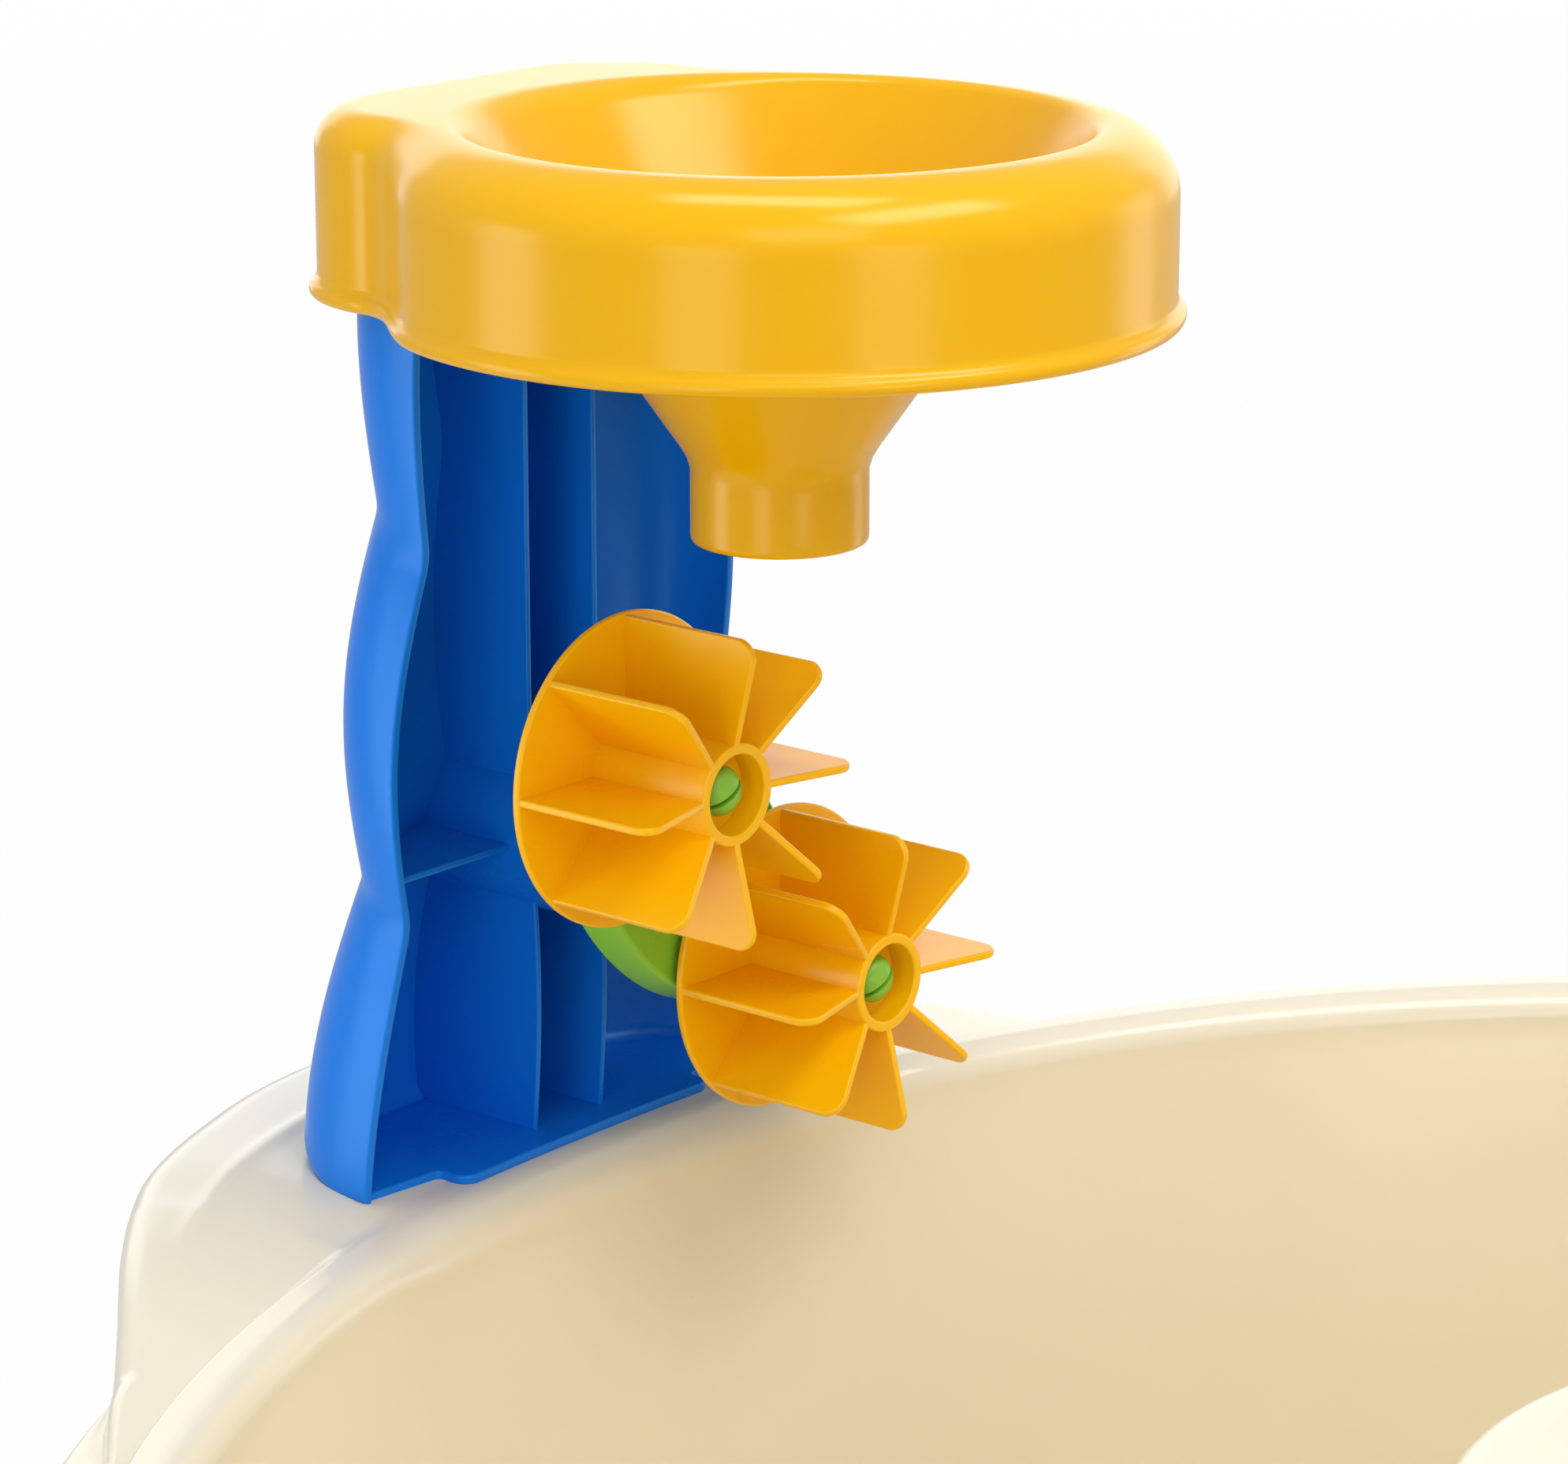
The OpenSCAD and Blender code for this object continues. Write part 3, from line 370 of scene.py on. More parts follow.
def trough_painted_shade(material, shade):
    """The trough's inside is painted a touch warmer and darker than the rim: painted shade and warm bounce light
    from the trough's own walls.
    """
    height_fade, radius_fade = (0.429, 0.419), (0.347, 0.342)
    tree = material.node_tree
    skin = next(n for n in tree.nodes if n.type == "GROUP" and n.node_tree == moulded_skin)
    pale = tuple(skin.inputs["Colour"].default_value)
    spot = add_node(tree, "SeparateXYZ", {"Vector": add_node(tree, "TexCoord").outputs["Object"]})
    along = maths(tree, "ADD", spot.outputs[0], -BASIN_X * MM)
    flat = add_node(tree, "CombineXYZ", {0: along, 1: spot.outputs[1]}).outputs[0]
    away = add_node(tree, "VectorMath", {0: flat}, operation="LENGTH").outputs["Value"]
    masks = [add_node(tree, "MapRange", {"Value": value, "From Min": start, "From Max": end}).outputs[0]
             for value, (start, end) in ((spot.outputs[2], height_fade), (away, radius_fade))]
    # Painted shade: below the rim's roll the skin colour is mixed towards a darker, warmer colour.
    mixed = add_node(tree, "Mix", {0: maths(tree, "MULTIPLY", *masks), 6: pale, 7: (*shade, 1.0)}, data_type="RGBA")
    tree.links.new(mixed.outputs[2], skin.inputs["Colour"])


cream = plastic("cream_polyethylene", (0.80, 0.745, 0.60), polish=0.2, clouds=0.03, peel=0.02,
                peel_size=420.0, gloss=0.5)
# Painted shade inside the trough: darker and warmer than the rim.
trough_painted_shade(cream, (0.80, 0.705, 0.50))
add_specks(cream, 62.0, (0.40, 0.31, 0.18))
dress(basin, cream, "table", "basin")

# Legs: four tapered cream tubes, blow moulded, each with a spigot that plugs into a socket and is
# held there by one screw.
LEG_FOOT_R, FOOT_T, LEG_WALL, SPIGOT_R, SPIGOT_TOP = 24.0, 8.0, 3.0, 26.7, 270.7
LEG_EDGE, LEG_SHOULDER, LEG_TOP_GAP = 1.0, 1.6, 2.0
leg_cream = plastic("leg_polyethylene", (0.80, 0.74, 0.59), polish=0.38, clouds=0.04, peel=0.03,
                    peel_size=420.0, gloss=0.4)
leg_spots = {}
for leg, way in LEG_WAYS.items():
    turn = math.radians(way)
    leg_spots[leg] = np.array([BASIN_X + LEG_RING_R * math.cos(turn), LEG_RING_R * math.sin(turn), 0.0])
    taper = np.linspace((LEG_FOOT_R + 0.05, FOOT_T + LEG_EDGE), (LEG_R - 0.1, SOCKET_BOTTOM - LEG_TOP_GAP), 24)
    shoulder = arc((LEG_R - LEG_SHOULDER, SOCKET_BOTTOM - LEG_SHOULDER), LEG_SHOULDER, 10, 90, 6)
    section = np.concatenate([[(LEG_FOOT_R - LEG_WALL, FOOT_T), (LEG_FOOT_R - LEG_EDGE, FOOT_T)], taper, shoulder,
                              [(SPIGOT_R, SOCKET_BOTTOM), (SPIGOT_R, SPIGOT_TOP - LEG_EDGE),
                               (SPIGOT_R - LEG_EDGE, SPIGOT_TOP), (SPIGOT_R - LEG_WALL, SPIGOT_TOP),
                               (SPIGOT_R - LEG_WALL, SOCKET_BOTTOM - LEG_WALL)]])
    tube = soften(turned(leg + "_leg_tube", section, leg_spots[leg]))
    dress(tube, leg_cream, "table", leg + "_leg")

# Feet: four dark rubber pads with a plug that presses into the leg's open end. Moulded, with a
# bulged edge and ring grooves that grip the ground.
FOOT_OUT, FOOT_PLUG, FOOT_GAP, FOOT_EDGE, FOOT_BULGE = 2.0, 16.0, 0.3, 2.0, 2.4
GROOVE_RADII, GROOVE_W, GROOVE_SLOPE, GROOVE_D = (20.0, 14.0, 8.0), 2.0, 0.5, 0.9
rubber = plastic("grey_rubber", (0.055, 0.057, 0.062), polish=0.62, clouds=0.25, peel=0.12,
                 peel_size=900.0, gloss=0.35)
for leg, spot in leg_spots.items():
    out, plug, plug_top = LEG_FOOT_R + FOOT_OUT, LEG_FOOT_R - LEG_WALL - FOOT_GAP, FOOT_T + FOOT_PLUG
    grooves = [p for r in GROOVE_RADII for p in ((r, 0.0), (r - GROOVE_SLOPE, GROOVE_D),
                                                 (r - GROOVE_W + GROOVE_SLOPE, GROOVE_D), (r - GROOVE_W, 0.0))]
    section = np.concatenate([[(0.0, 0.0)], grooves[::-1],
                              arc((out - FOOT_EDGE, FOOT_EDGE), FOOT_EDGE, -90, 0, 6),
                              arc((out - FOOT_BULGE, FOOT_T - FOOT_BULGE), FOOT_BULGE, 0, 80, 6),
                              [(plug, FOOT_T), (plug, plug_top - 1.0), (plug - 1.0, plug_top), (0.0, plug_top)]])
    pad = soften(turned(leg + "_rubber_foot", section, spot))
    dress(pad, rubber, "table", leg + "_foot")

# Screws: zinc-plated pan heads through the leg sockets, up into the tower and up into the funnel.
# They are bought parts, turned and plated, and keep the shape of the model's own solids.


def plated_steel():
    """Zinc plating: bright metal with fine dull patches."""
    material = bpy.data.materials.new("zinc_plated_steel")
    material.use_nodes = True
    tree = material.node_tree
    shader = tree.nodes["Principled BSDF"]
    dark, bright = (0.50, 0.51, 0.52, 1.0), (0.70, 0.71, 0.72, 1.0)
    spot = add_node(tree, "TexCoord").outputs["Object"]
    dull = add_node(tree, "TexNoise", {"Vector": spot, "Scale": 480.0, "Detail": 4.0}).outputs["Fac"]
    tone = add_node(tree, "Mix", {0: dull, 6: dark, 7: bright}, data_type="RGBA")
    rough = add_node(tree, "MapRange", {"Value": dull, "To Min": 0.22, "To Max": 0.48}).outputs[0]
    tree.links.new(tone.outputs[2], shader.inputs["Base Color"])
    tree.links.new(rough, shader.inputs["Roughness"])
    shader.inputs["Metallic"].default_value = 1.0
    return material


steel = plated_steel()
for screws in ("leg_screws", "tower_screws", "funnel_screws"):
    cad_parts[screws].data.materials.clear()
    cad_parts[screws].data.materials.append(steel)

# Drain: a green stopper with a pull tab closes the hole in the floor on a flat rubber seal. The
# stopper is one moulding and lifts straight up.
SEAL_T, SEAL_GAP, PLUG_R, PLUG_T, PLUG_GAP, PLUG_LIFT = 1.6, 0.3, 18.0, 3.0, 0.3, 0.1
PLUG_NOSE, PLUG_EDGE, DISH_R, DISH_D = ((1.2, -4.0), (0.6, -3.2)), 1.0, 9.0, 0.5
PULL_H, PULL_T, PULL_ROOT, PULL_CORNER, PULL_EDGE = 14.0, 4.0, 4.0, 4.0, 1.2
drain_spot = np.array([DRAIN_X, 0.0, FLOOR_Z])
green = plastic("green_polypropylene", (0.23, 0.56, 0.03), polish=0.3, clouds=0.06, peel=0.015,
                peel_size=700.0, gloss=0.4)
half = SEAL_T / 2.0
seal_section = np.concatenate([arc((PLUG_R - half, half), half, -90, 90, 9),
                               arc((DRAIN_R + SEAL_GAP + half, half), half, 90, 270, 9)])
seal = soften(turned("drain_ring", seal_section, drain_spot), sharp=60.0)
dress(seal, rubber, "table", "drain_seal")


def plate_loops(outline, thickness, edge):
    """Loops of a plate with rounded edges: the outline lies in its plane and is counter-clockwise."""
    outline = np.asarray(outline, float)
    ahead = np.roll(outline, -1, 0) - outline
    ahead /= np.linalg.norm(ahead, axis=1)[:, None]
    mean = ahead + np.roll(ahead, 1, 0)
    out = np.stack([mean[:, 1], -mean[:, 0]], -1)
    out *= 2.0 / np.maximum((mean ** 2).sum(1), 0.5)[:, None]
    turn = np.radians(np.linspace(0.0, 90.0, 5))
    steps = [(edge * (1 - math.sin(a)), edge * (1 - math.cos(a))) for a in turn]
    steps += [(edge * (1 - math.cos(a)), thickness - edge * (1 - math.sin(a))) for a in turn]
    return [np.concatenate([outline - out * inset, np.full((len(outline), 1), height)], 1)
            for inset, height in steps]


def plate(name, outline, thickness, edge, place):
    """A rounded plate, put in place by a function from its (u, v, height) points."""
    return loft(name, [place(loop) for loop in plate_loops(outline, thickness, edge)])


def rounded_box(width, height, corner, steps=6):
    """Outline of a rectangle with rounded corners."""
    w, h = width / 2.0 - corner, height / 2.0 - corner
    return np.concatenate([arc((x, y), corner, start, start + 90, steps)
                           for x, y, start in ((w, -h, -90), (w, h, 0), (-w, h, 90), (-w, -h, 180))])


def pull_place(p):
    """Stands the pull tab upright on the stopper."""
    height = p[:, 1] + top + (PULL_H - PULL_ROOT) / 2.0
    return np.stack([p[:, 0], PULL_T / 2.0 - p[:, 2], height], -1) + drain_spot


top, neck, shelf_z = SEAL_T + PLUG_T, DRAIN_R - PLUG_GAP, SEAL_T + PLUG_LIFT
nose = [(DRAIN_R - inset, z) for inset, z in PLUG_NOSE]
plug_section = np.concatenate([[(0.0, nose[0][1])], nose,
                               [(neck, 0.0), (neck, shelf_z), (PLUG_R - PLUG_EDGE / 2.0, shelf_z)],
                               arc((PLUG_R - PLUG_EDGE, top - PLUG_EDGE), PLUG_EDGE, 0, 90, 6),
                               [(DISH_R, top), (DISH_R - 1.0, top - DISH_D), (0.0, top - DISH_D)]])
stopper = turned("drain_stopper", plug_section, drain_spot)
tab_outline = rounded_box(DRAIN_R, PULL_H + PULL_ROOT, PULL_CORNER)
combine(stopper, "UNION", plate("tab", tab_outline, PULL_T, PULL_EDGE, pull_place))
dress(soften(stopper, sharp=35.0, flats=True), green, "plug", "drain_plug")

# Tower: a blue injection-moulded column, open at the front, that swells and pinches in a twist. Two
# upright ribs and a shelf stiffen it, a drum holds the carrier's bearing, and its base plate ends in
# a tongue along the rim. Two screws from below hold it on the deck.
TOWER = np.array([-317.4, 10.0, DECK_Z])
TOWER_H, HALF_W, TAPER, DEPTH, SQUARE = 223.4, 62.4, 0.1, 30.0, 0.71
LOW_PINCH, HIGH_PINCH, TOP_RISE, TWIST, FAR_SIDE, PINCH_BLUR = 62.4, 146.4, 52.0, 39.0, 2.8, 3.0
SIDE_SWELLS, BACK_SWELLS = (8.2, 7.0, 6.6), (13.0, 4.0, 5.6)
TOWER_WALL, WALL_CAP, BACK_POINTS, BACK_START = 2.2, 0.4, 121, 0.01
FOOT_ROUND, FRONT_FOOT_ROUND, FOOT_FADE, FOOT_WALL = 8.0, 2.6, (0.1, 0.6), 1.4
FOOT_LEVELS = (0.0, 0.15, 0.5, 1.0, 1.7, 2.6, 3.6, 4.8, 6.2)
SEAT_GAP, SEAT_H = 0.1, 14.0
RIB_T, RIB_GAP, RIB_SETBACK, RIB_BOW, RIB_EDGE, RIB_REACH = 1.5, 22.8, 2.2, 1.9, 0.6, 60.0
SHELF_HALF_W, PLATE_T, BASE_EDGE, CROWN_EDGE = 90.0, 2.4, 0.7, 0.4
PIVOT_H, DRUM_R, DRUM_REACH, DRUM_EDGE, AXLE_R = 73.2, 19.2, 27.3, 1.0, 5.0
BEARING_WALL, BEARING_LEN, BEARING_GAP, BEARING_OVER = 2.0, 26.0, 0.05, 3.0
TONGUE_ENDS, TONGUE_CORNER, TONGUE_FILLET, TONGUE_STEP = (-46.2, 41.6), 4.2, 1.6, 1.2
TONGUE_REACH, TONGUE_BOW, TONGUE_MID, TONGUE_SPAN = 6.5, 1.7, 15.0, 57.0


def swell(z, sizes):
    """How far the column bulges at a height: at its foot, between its two pinches and at its crown."""
    foot, mid, crown = sizes
    low = foot * np.cos(np.pi / 2.0 * z / LOW_PINCH)
    waist = mid * np.sin(np.pi * (z - LOW_PINCH) / (HIGH_PINCH - LOW_PINCH))
    high = crown * np.sin(np.minimum(np.pi / 2.0, np.pi / 2.0 * (z - HIGH_PINCH) / TOP_RISE))
    return np.where(z < LOW_PINCH, low, np.where(z < HIGH_PINCH, waist, high))


def soft_swell(z, sizes):
    """The pinches are short valleys, so the swell is averaged over a few millimetres of height."""
    return sum(swell(z + step, sizes) for step in np.linspace(-PINCH_BLUR, PINCH_BLUR, 7)) / 7.0


def tower_point(z, turn, inset):
    """Points of the column's outside at a height, turned from its near front edge to its far one."""
    level = z - TWIST * turn / np.pi
    w = HALF_W - TAPER * z + FAR_SIDE * turn / np.pi + soft_swell(level, SIDE_SWELLS) - inset
    d = DEPTH + soft_swell(level, BACK_SWELLS) - inset
    side = np.sign(np.cos(turn)) * abs(np.cos(turn)) ** SQUARE
    return np.stack([-d * np.sin(turn) ** SQUARE, -w * side, np.full_like(turn, z)], -1)


def even_turns(start=0.0):
    """Angles around the tower's back that are evenly spaced along its curve."""
    fine = np.linspace(start, np.pi - start, 4001)
    line = tower_point(TOWER_H / 3.0, fine, 0.0)
    along = np.concatenate([[0.0], np.cumsum(np.linalg.norm(np.diff(line, axis=0), axis=1))])
    return np.interp(np.linspace(0.0, along[-1], BACK_POINTS), along, fine)


def foot_tuck(z, turn):
    """How far the foot is rounded in. It is nearly square at the open front."""
    back = smooth(np.minimum(turn, np.pi - turn), *FOOT_FADE)
    foot_r = FRONT_FOOT_ROUND + (FOOT_ROUND - FRONT_FOOT_ROUND) * back
    return foot_r - np.sqrt(foot_r ** 2 - np.maximum(foot_r - z, 0.0) ** 2)


def tower_wall_loop(z):
    """Closed section of the wall at a height, with rounded ends at the open front."""
    half = TOWER_WALL / 2.0
    turn = even_turns(math.asin((half / DEPTH) ** (1.0 / SQUARE)))
    tuck = foot_tuck(z, turn)
    outer = tower_point(z, turn, tuck)
    inner = tower_point(z, turn, np.maximum(TOWER_WALL, tuck + FOOT_WALL))[::-1]
    around = np.linspace(0.0, np.pi, 13)[1:-1]
    aside = np.sign(np.cos(around)) * abs(np.cos(around)) ** WALL_CAP
    ahead = np.sin(around) ** WALL_CAP
    caps = []
    for start, end in ((outer[-1], inner[0]), (inner[-1], outer[0])):
        middle, reach = (start + end) / 2.0, (start - end) / 2.0
        caps.append(middle + aside[:, None] * reach + ahead[:, None] * (half, 0.0, 0.0))
    return np.concatenate([outer, caps[0], inner, caps[1]]) + TOWER


def tower_core(z):
    """Section of the space that the ribs, the shelf and the drum may fill."""
    line = tower_point(z, even_turns(), TOWER_WALL / 2.0)
    front = np.array([DRUM_REACH + 9.0, 0.0, 0.0])
    return np.concatenate([line, [line[-1] + front, line[0] + front]]) + TOWER


def upright(y):
    """One upright rib. Its front edge is straight above the shelf and bows forward below it."""
    z = np.linspace(PLATE_T / 2.0, TOWER_H - PLATE_T / 2.0, 120)
    bow = np.where(z < PIVOT_H, RIB_BOW * np.sin(np.pi * np.clip(z / PIVOT_H, 0.0, 1.0)), 0.0)
    front = np.stack([bow - RIB_SETBACK, z], -1)
    outline = np.concatenate([front, [(-RIB_REACH, z[-1]), (-RIB_REACH, z[0])]])
    return plate("upright", outline, RIB_T, RIB_EDGE, lambda p: np.stack(
        [p[:, 0], p[:, 2] + y - RIB_T / 2.0, p[:, 1]], -1) + TOWER)


def base_outline():
    """Base plate seen from above. The tongue's front bows along the rim and its corners are rounded."""
    turns = even_turns(BACK_START)
    back = tower_point(0.0, turns, foot_tuck(PLATE_T / 2.0, turns) + TOWER_WALL / 2.0)[:, :2][::-1]
    near, far = TONGUE_ENDS
    y = np.linspace(near + TONGUE_CORNER, far - TONGUE_CORNER, 60)
    front = np.stack([TONGUE_REACH + TONGUE_BOW * ((y - TONGUE_MID) / TONGUE_SPAN) ** 2, y], -1)
    return np.concatenate([back, arc((TONGUE_STEP, near - TONGUE_FILLET), TONGUE_FILLET, 180, 90, 8),
                           arc((front[0][0] - TONGUE_CORNER, y[0]), TONGUE_CORNER, -90, 0, 12)[:-1], front,
                           arc((front[-1][0] - TONGUE_CORNER, y[-1]), TONGUE_CORNER, 0, 90, 12)[1:],
                           arc((TONGUE_STEP, far + TONGUE_FILLET), TONGUE_FILLET, -90, -180, 8)])


tower_levels = np.concatenate([FOOT_LEVELS, np.linspace(FOOT_ROUND, TOWER_H, 160)])
tower = loft("tower_moulding", [tower_wall_loop(z) for z in tower_levels])
seat_turns = even_turns(BACK_START)
tower_seat = loft("seat", [tower_point(z, seat_turns, foot_tuck(z, seat_turns) - SEAT_GAP) + TOWER
                           for z in np.linspace(0.0, SEAT_H, 15)])
combine(basin, "DIFFERENCE", tower_seat)
soften(basin, sharp=40.0)
pivot = TOWER + (0.0, 0.0, PIVOT_H)
ribs = upright(RIB_GAP / 2.0)
shelf_outline = [(-RIB_REACH, -SHELF_HALF_W), (-RIB_SETBACK, -SHELF_HALF_W),
                 (-RIB_SETBACK, SHELF_HALF_W), (-RIB_REACH, SHELF_HALF_W)]
shelf = plate("shelf", shelf_outline, RIB_T, RIB_EDGE, lambda p: p + pivot - (0.0, 0.0, RIB_T / 2.0))
drum = turned("drum", [(0.0, -RIB_REACH), (DRUM_R, -RIB_REACH), (DRUM_R, DRUM_REACH - DRUM_EDGE),
                       (DRUM_R - DRUM_EDGE, DRUM_REACH), (0.0, DRUM_REACH)], pivot, 128, "x")
drum_bore, boss_r, hollow_end = DRUM_R - TOWER_WALL, AXLE_R + BEARING_WALL, -RIB_REACH - 10.0
hollow = turned("hollow", [(0.0, hollow_end), (drum_bore, hollow_end), (drum_bore, DRUM_REACH - PLATE_T),
                           (boss_r, DRUM_REACH - PLATE_T), (boss_r, DRUM_REACH - BEARING_LEN),
                           (0.0, DRUM_REACH - BEARING_LEN)], pivot, 128, "x")
core = loft("core", [tower_core(z) for z in np.linspace(0.0, TOWER_H, 120)])
combine(ribs, "UNION", upright(-RIB_GAP / 2.0), shelf, drum)
combine(ribs, "DIFFERENCE", hollow)
combine(ribs, "INTERSECT", core)
base = plate("base", base_outline(), PLATE_T, BASE_EDGE, lambda p: p + TOWER)
crown_line = tower_point(TOWER_H, even_turns(BACK_START), TOWER_WALL / 2.0)[:, :2][::-1]
crown_spot = TOWER + (0.0, 0.0, TOWER_H - PLATE_T)
crown = plate("crown", crown_line, PLATE_T, CROWN_EDGE, lambda p: p + crown_spot)
combine(tower, "UNION", ribs, base, crown)
bore, bore_end = AXLE_R + BEARING_GAP, DRUM_REACH + BEARING_OVER
bearing = [(0.0, -BEARING_OVER), (bore, -BEARING_OVER), (bore, bore_end), (0.0, bore_end)]
combine(tower, "DIFFERENCE", turned("bearing", bearing, pivot, 64, "x"))
blue = plastic("blue_polypropylene", (0.005, 0.195, 0.80), polish=0.3, clouds=0.02, peel=0.008,
               peel_size=520.0, gloss=0.4, tint=(0.4, 0.75, 1.0))
dress(soften(tower, sharp=38.0, flats=True), blue, "table", "tower")

# Funnel: a glossy yellow injection moulding. Its ring has a rounded crest, a skirt with a rolled
# foot and a bowl with a spout, and a flat tab at the back caps the tower, held by two screws.
FUNNEL = np.array([-254.4, 10.0, 632.5])
RING_R, RING_H, FUNNEL_WALL, SKIRT_EDGE = 86.8, 42.7, 2.2, 0.6
CREST_ROUND, TAB_ROUND, TAB_REAR, TAB_HALF_W, TAB_CORNER = 15.0, 9.4, 104.1, 57.33, 32.9
BLEND_WAY, BLEND_PULLS, BLEND_SHIFT = 112.0, (16.0, 13.0), 0.7
LIP_R, LIP_ROUND, TAB_LIP_ROUND, TAB_FADE = 69.5, 4.2, 11.0, (120.0, 165.0)
CONE_WAY = math.radians(55.1)
SPOUT_R, SPOUT_BOTTOM, SPOUT_EDGE, THROAT_Z = 19.8, -50.2, 1.4, -31.6
THROAT_BEND = ((2.4, 3.3), (0.8, 0.6), (0.0, -2.0))
BEAD_R, BEAD_OUT, FILLET_R = 2.0, 1.9, 3.0


def funnel_outline():
    """Points around the skirt, seen from above, with their outward directions and top edge radii."""
    rows = []
    for a in np.linspace(0.0, BLEND_WAY, 110):
        way = np.array([math.cos(math.radians(a)), math.sin(math.radians(a))])
        rows.append((RING_R * way, way, CREST_ROUND))
    start, ahead = RING_R * way, np.array([-way[1], way[0]])
    end = np.array([TAB_CORNER - TAB_REAR + BLEND_SHIFT, TAB_HALF_W])
    pulls = (start, start + BLEND_PULLS[0] * ahead, end + (BLEND_PULLS[1], 0.0), end)
    for t in np.linspace(0.0, 1.0, 40)[1:]:
        shares = ((1 - t) ** 3, 3 * t * (1 - t) ** 2, 3 * t * t * (1 - t), t ** 3)
        slopes = (-(1 - t) ** 2, (1 - t) * (1 - 3 * t), t * (2 - 3 * t), t * t)
        spot = sum(s * p for s, p in zip(shares, pulls))
        ahead = sum(s * p for s, p in zip(slopes, pulls))
        way = np.array([ahead[1], -ahead[0]]) / np.linalg.norm(ahead)
        rows.append((spot, way, CREST_ROUND + (TAB_ROUND - CREST_ROUND) * float(smooth(t, 0.0, 1.0))))
    for a in np.radians(np.linspace(90.0, 180.0, 80)):
        way = np.array([math.cos(a), math.sin(a)])
        rows.append(((TAB_CORNER - TAB_REAR, TAB_HALF_W - TAB_CORNER) + TAB_CORNER * way, way, TAB_ROUND))
    for y in np.linspace(TAB_HALF_W - TAB_CORNER, 0.0, 25)[1:]:
        rows.append((np.array([-TAB_REAR, y]), np.array([-1.0, 0.0]), TAB_ROUND))
    flip = np.array([1.0, -1.0])
    return rows + [(p * flip, way * flip, edge) for p, way, edge in rows[-2:0:-1]]


def bowl_line(turn, depth):
    """Line of the bowl and the spout at an angle around the funnel and a depth in its wall."""
    tab_share = float(smooth(abs(math.degrees(turn)), *TAB_FADE))
    lip = LIP_ROUND + (TAB_LIP_ROUND - LIP_ROUND) * tab_share
    lip_r = LIP_R + lip * (1.0 - math.cos(CONE_WAY)) / math.sin(CONE_WAY)
    edge_line = arc((lip_r, RING_H - lip), lip - depth, 90, 90 + math.degrees(CONE_WAY), 16)
    bore = SPOUT_R - FUNNEL_WALL
    top = (lip_r - lip * math.sin(CONE_WAY), RING_H - lip + lip * math.cos(CONE_WAY))
    bend = [(bore + out, THROAT_Z + up) for out, up in THROAT_BEND]
    cone = np.linspace(top, bend[0], 30)[1:]
    pipe = np.linspace(bend[2], (bore, SPOUT_BOTTOM + SPOUT_EDGE), 8)[1:]
    line = np.concatenate([edge_line, np.concatenate([cone, bend[1:], pipe]) + (depth, 0)])
    return np.stack([line[:, 0] * math.cos(turn), line[:, 0] * math.sin(turn), line[:, 1]], -1)


def funnel_loop(spot, way, edge):
    """Closed section of the funnel: skirt, crest, bowl and spout inside, then back below."""
    fillet_z = BEAD_R + math.sqrt(BEAD_OUT * (2 * FILLET_R + 2 * BEAD_R - BEAD_OUT))
    touch = math.degrees(math.atan2(fillet_z - BEAD_R, FILLET_R - BEAD_OUT + BEAD_R))
    skirt = [np.array([(-FUNNEL_WALL, SKIRT_EDGE), (-FUNNEL_WALL + SKIRT_EDGE, 0.0)]),
             arc((BEAD_OUT - BEAD_R, BEAD_R), BEAD_R, -90, touch, 12),
             arc((FILLET_R, fillet_z), FILLET_R, 180 + touch, 180, 8)[1:],
             np.linspace((0.0, fillet_z), (0.0, RING_H - edge), 10)[1:-1],
             arc((-edge, RING_H - edge), edge, 0, 90, 22)]
    inside = arc((-edge, RING_H - edge), edge - FUNNEL_WALL, 90, 0, 8)

    def out(points):
        return np.concatenate([spot + points[:, :1] * way, points[:, 1:]], 1)

    turn = math.atan2(spot[1], spot[0])
    rim, under = out(np.concatenate(skirt)), out(inside)
    water, below = bowl_line(turn, 0.0), bowl_line(turn, FUNNEL_WALL)
    deck = np.linspace(rim[-1], water[0], 12)[1:-1]
    ceiling = np.linspace(below[0], under[0], 6)[1:-1]
    end = np.linspace(0.0, np.pi, 8)[1:-1]
    middle, reach = (water[-1] + below[-1]) / 2.0, (water[-1] - below[-1]) / 2.0
    mouth = middle + np.cos(end)[:, None] * reach - np.sin(end)[:, None] * (0.0, 0.0, SPOUT_EDGE)
    return np.concatenate([rim, deck, water, mouth, below[::-1], ceiling, under]) + FUNNEL


funnel = loft("funnel_moulding", [funnel_loop(*row) for row in funnel_outline()], ring=True)
yellow = plastic("yellow_polypropylene", (0.82, 0.435, 0.001), polish=0.22, clouds=0.03, peel=0.012,
                 peel_size=480.0, gloss=0.42, tint=(1.0, 0.94, 0.7))
dress(soften(funnel, sharp=40.0), yellow, "table", "funnel")

# Carrier: a green oval moulding that turns on the tower's drum. A snap axle is pressed into its
# middle and a wheel pin into each end.
ARM_WAY = math.radians(133.3)
AXLE_HALF, CARRIER_HALF_L, CARRIER_HALF_W, CARRIER_DRAFT = 39.0, 45.0, 28.4, 2.0
CARRIER_BACK, CARRIER_FRONT, FRONT_ROUND, BACK_ROUND = 27.6, 38.0, 1.2, 0.8
PIN_R, SEAT_WALL, SEAT_UP, SEAT_EDGE, SEAT_ROOT = 4.0, 2.0, 1.3, 0.3, 2.0
AXLE_HEAD_H, AXLE_HEAD_OVER, SNAP_GAP = 3.2, 0.8, 0.3
SLIT_W, SLIT_LONG, SLIT_DEEP, SLIT_EDGE, PIN_EDGE, DOME_FOOT = 1.2, 30.0, 9.0, 0.2, 0.3, 0.25
arm = np.array([0.0, math.cos(ARM_WAY), math.sin(ARM_WAY)])
across = np.array([0.0, -math.sin(ARM_WAY), math.cos(ARM_WAY)])


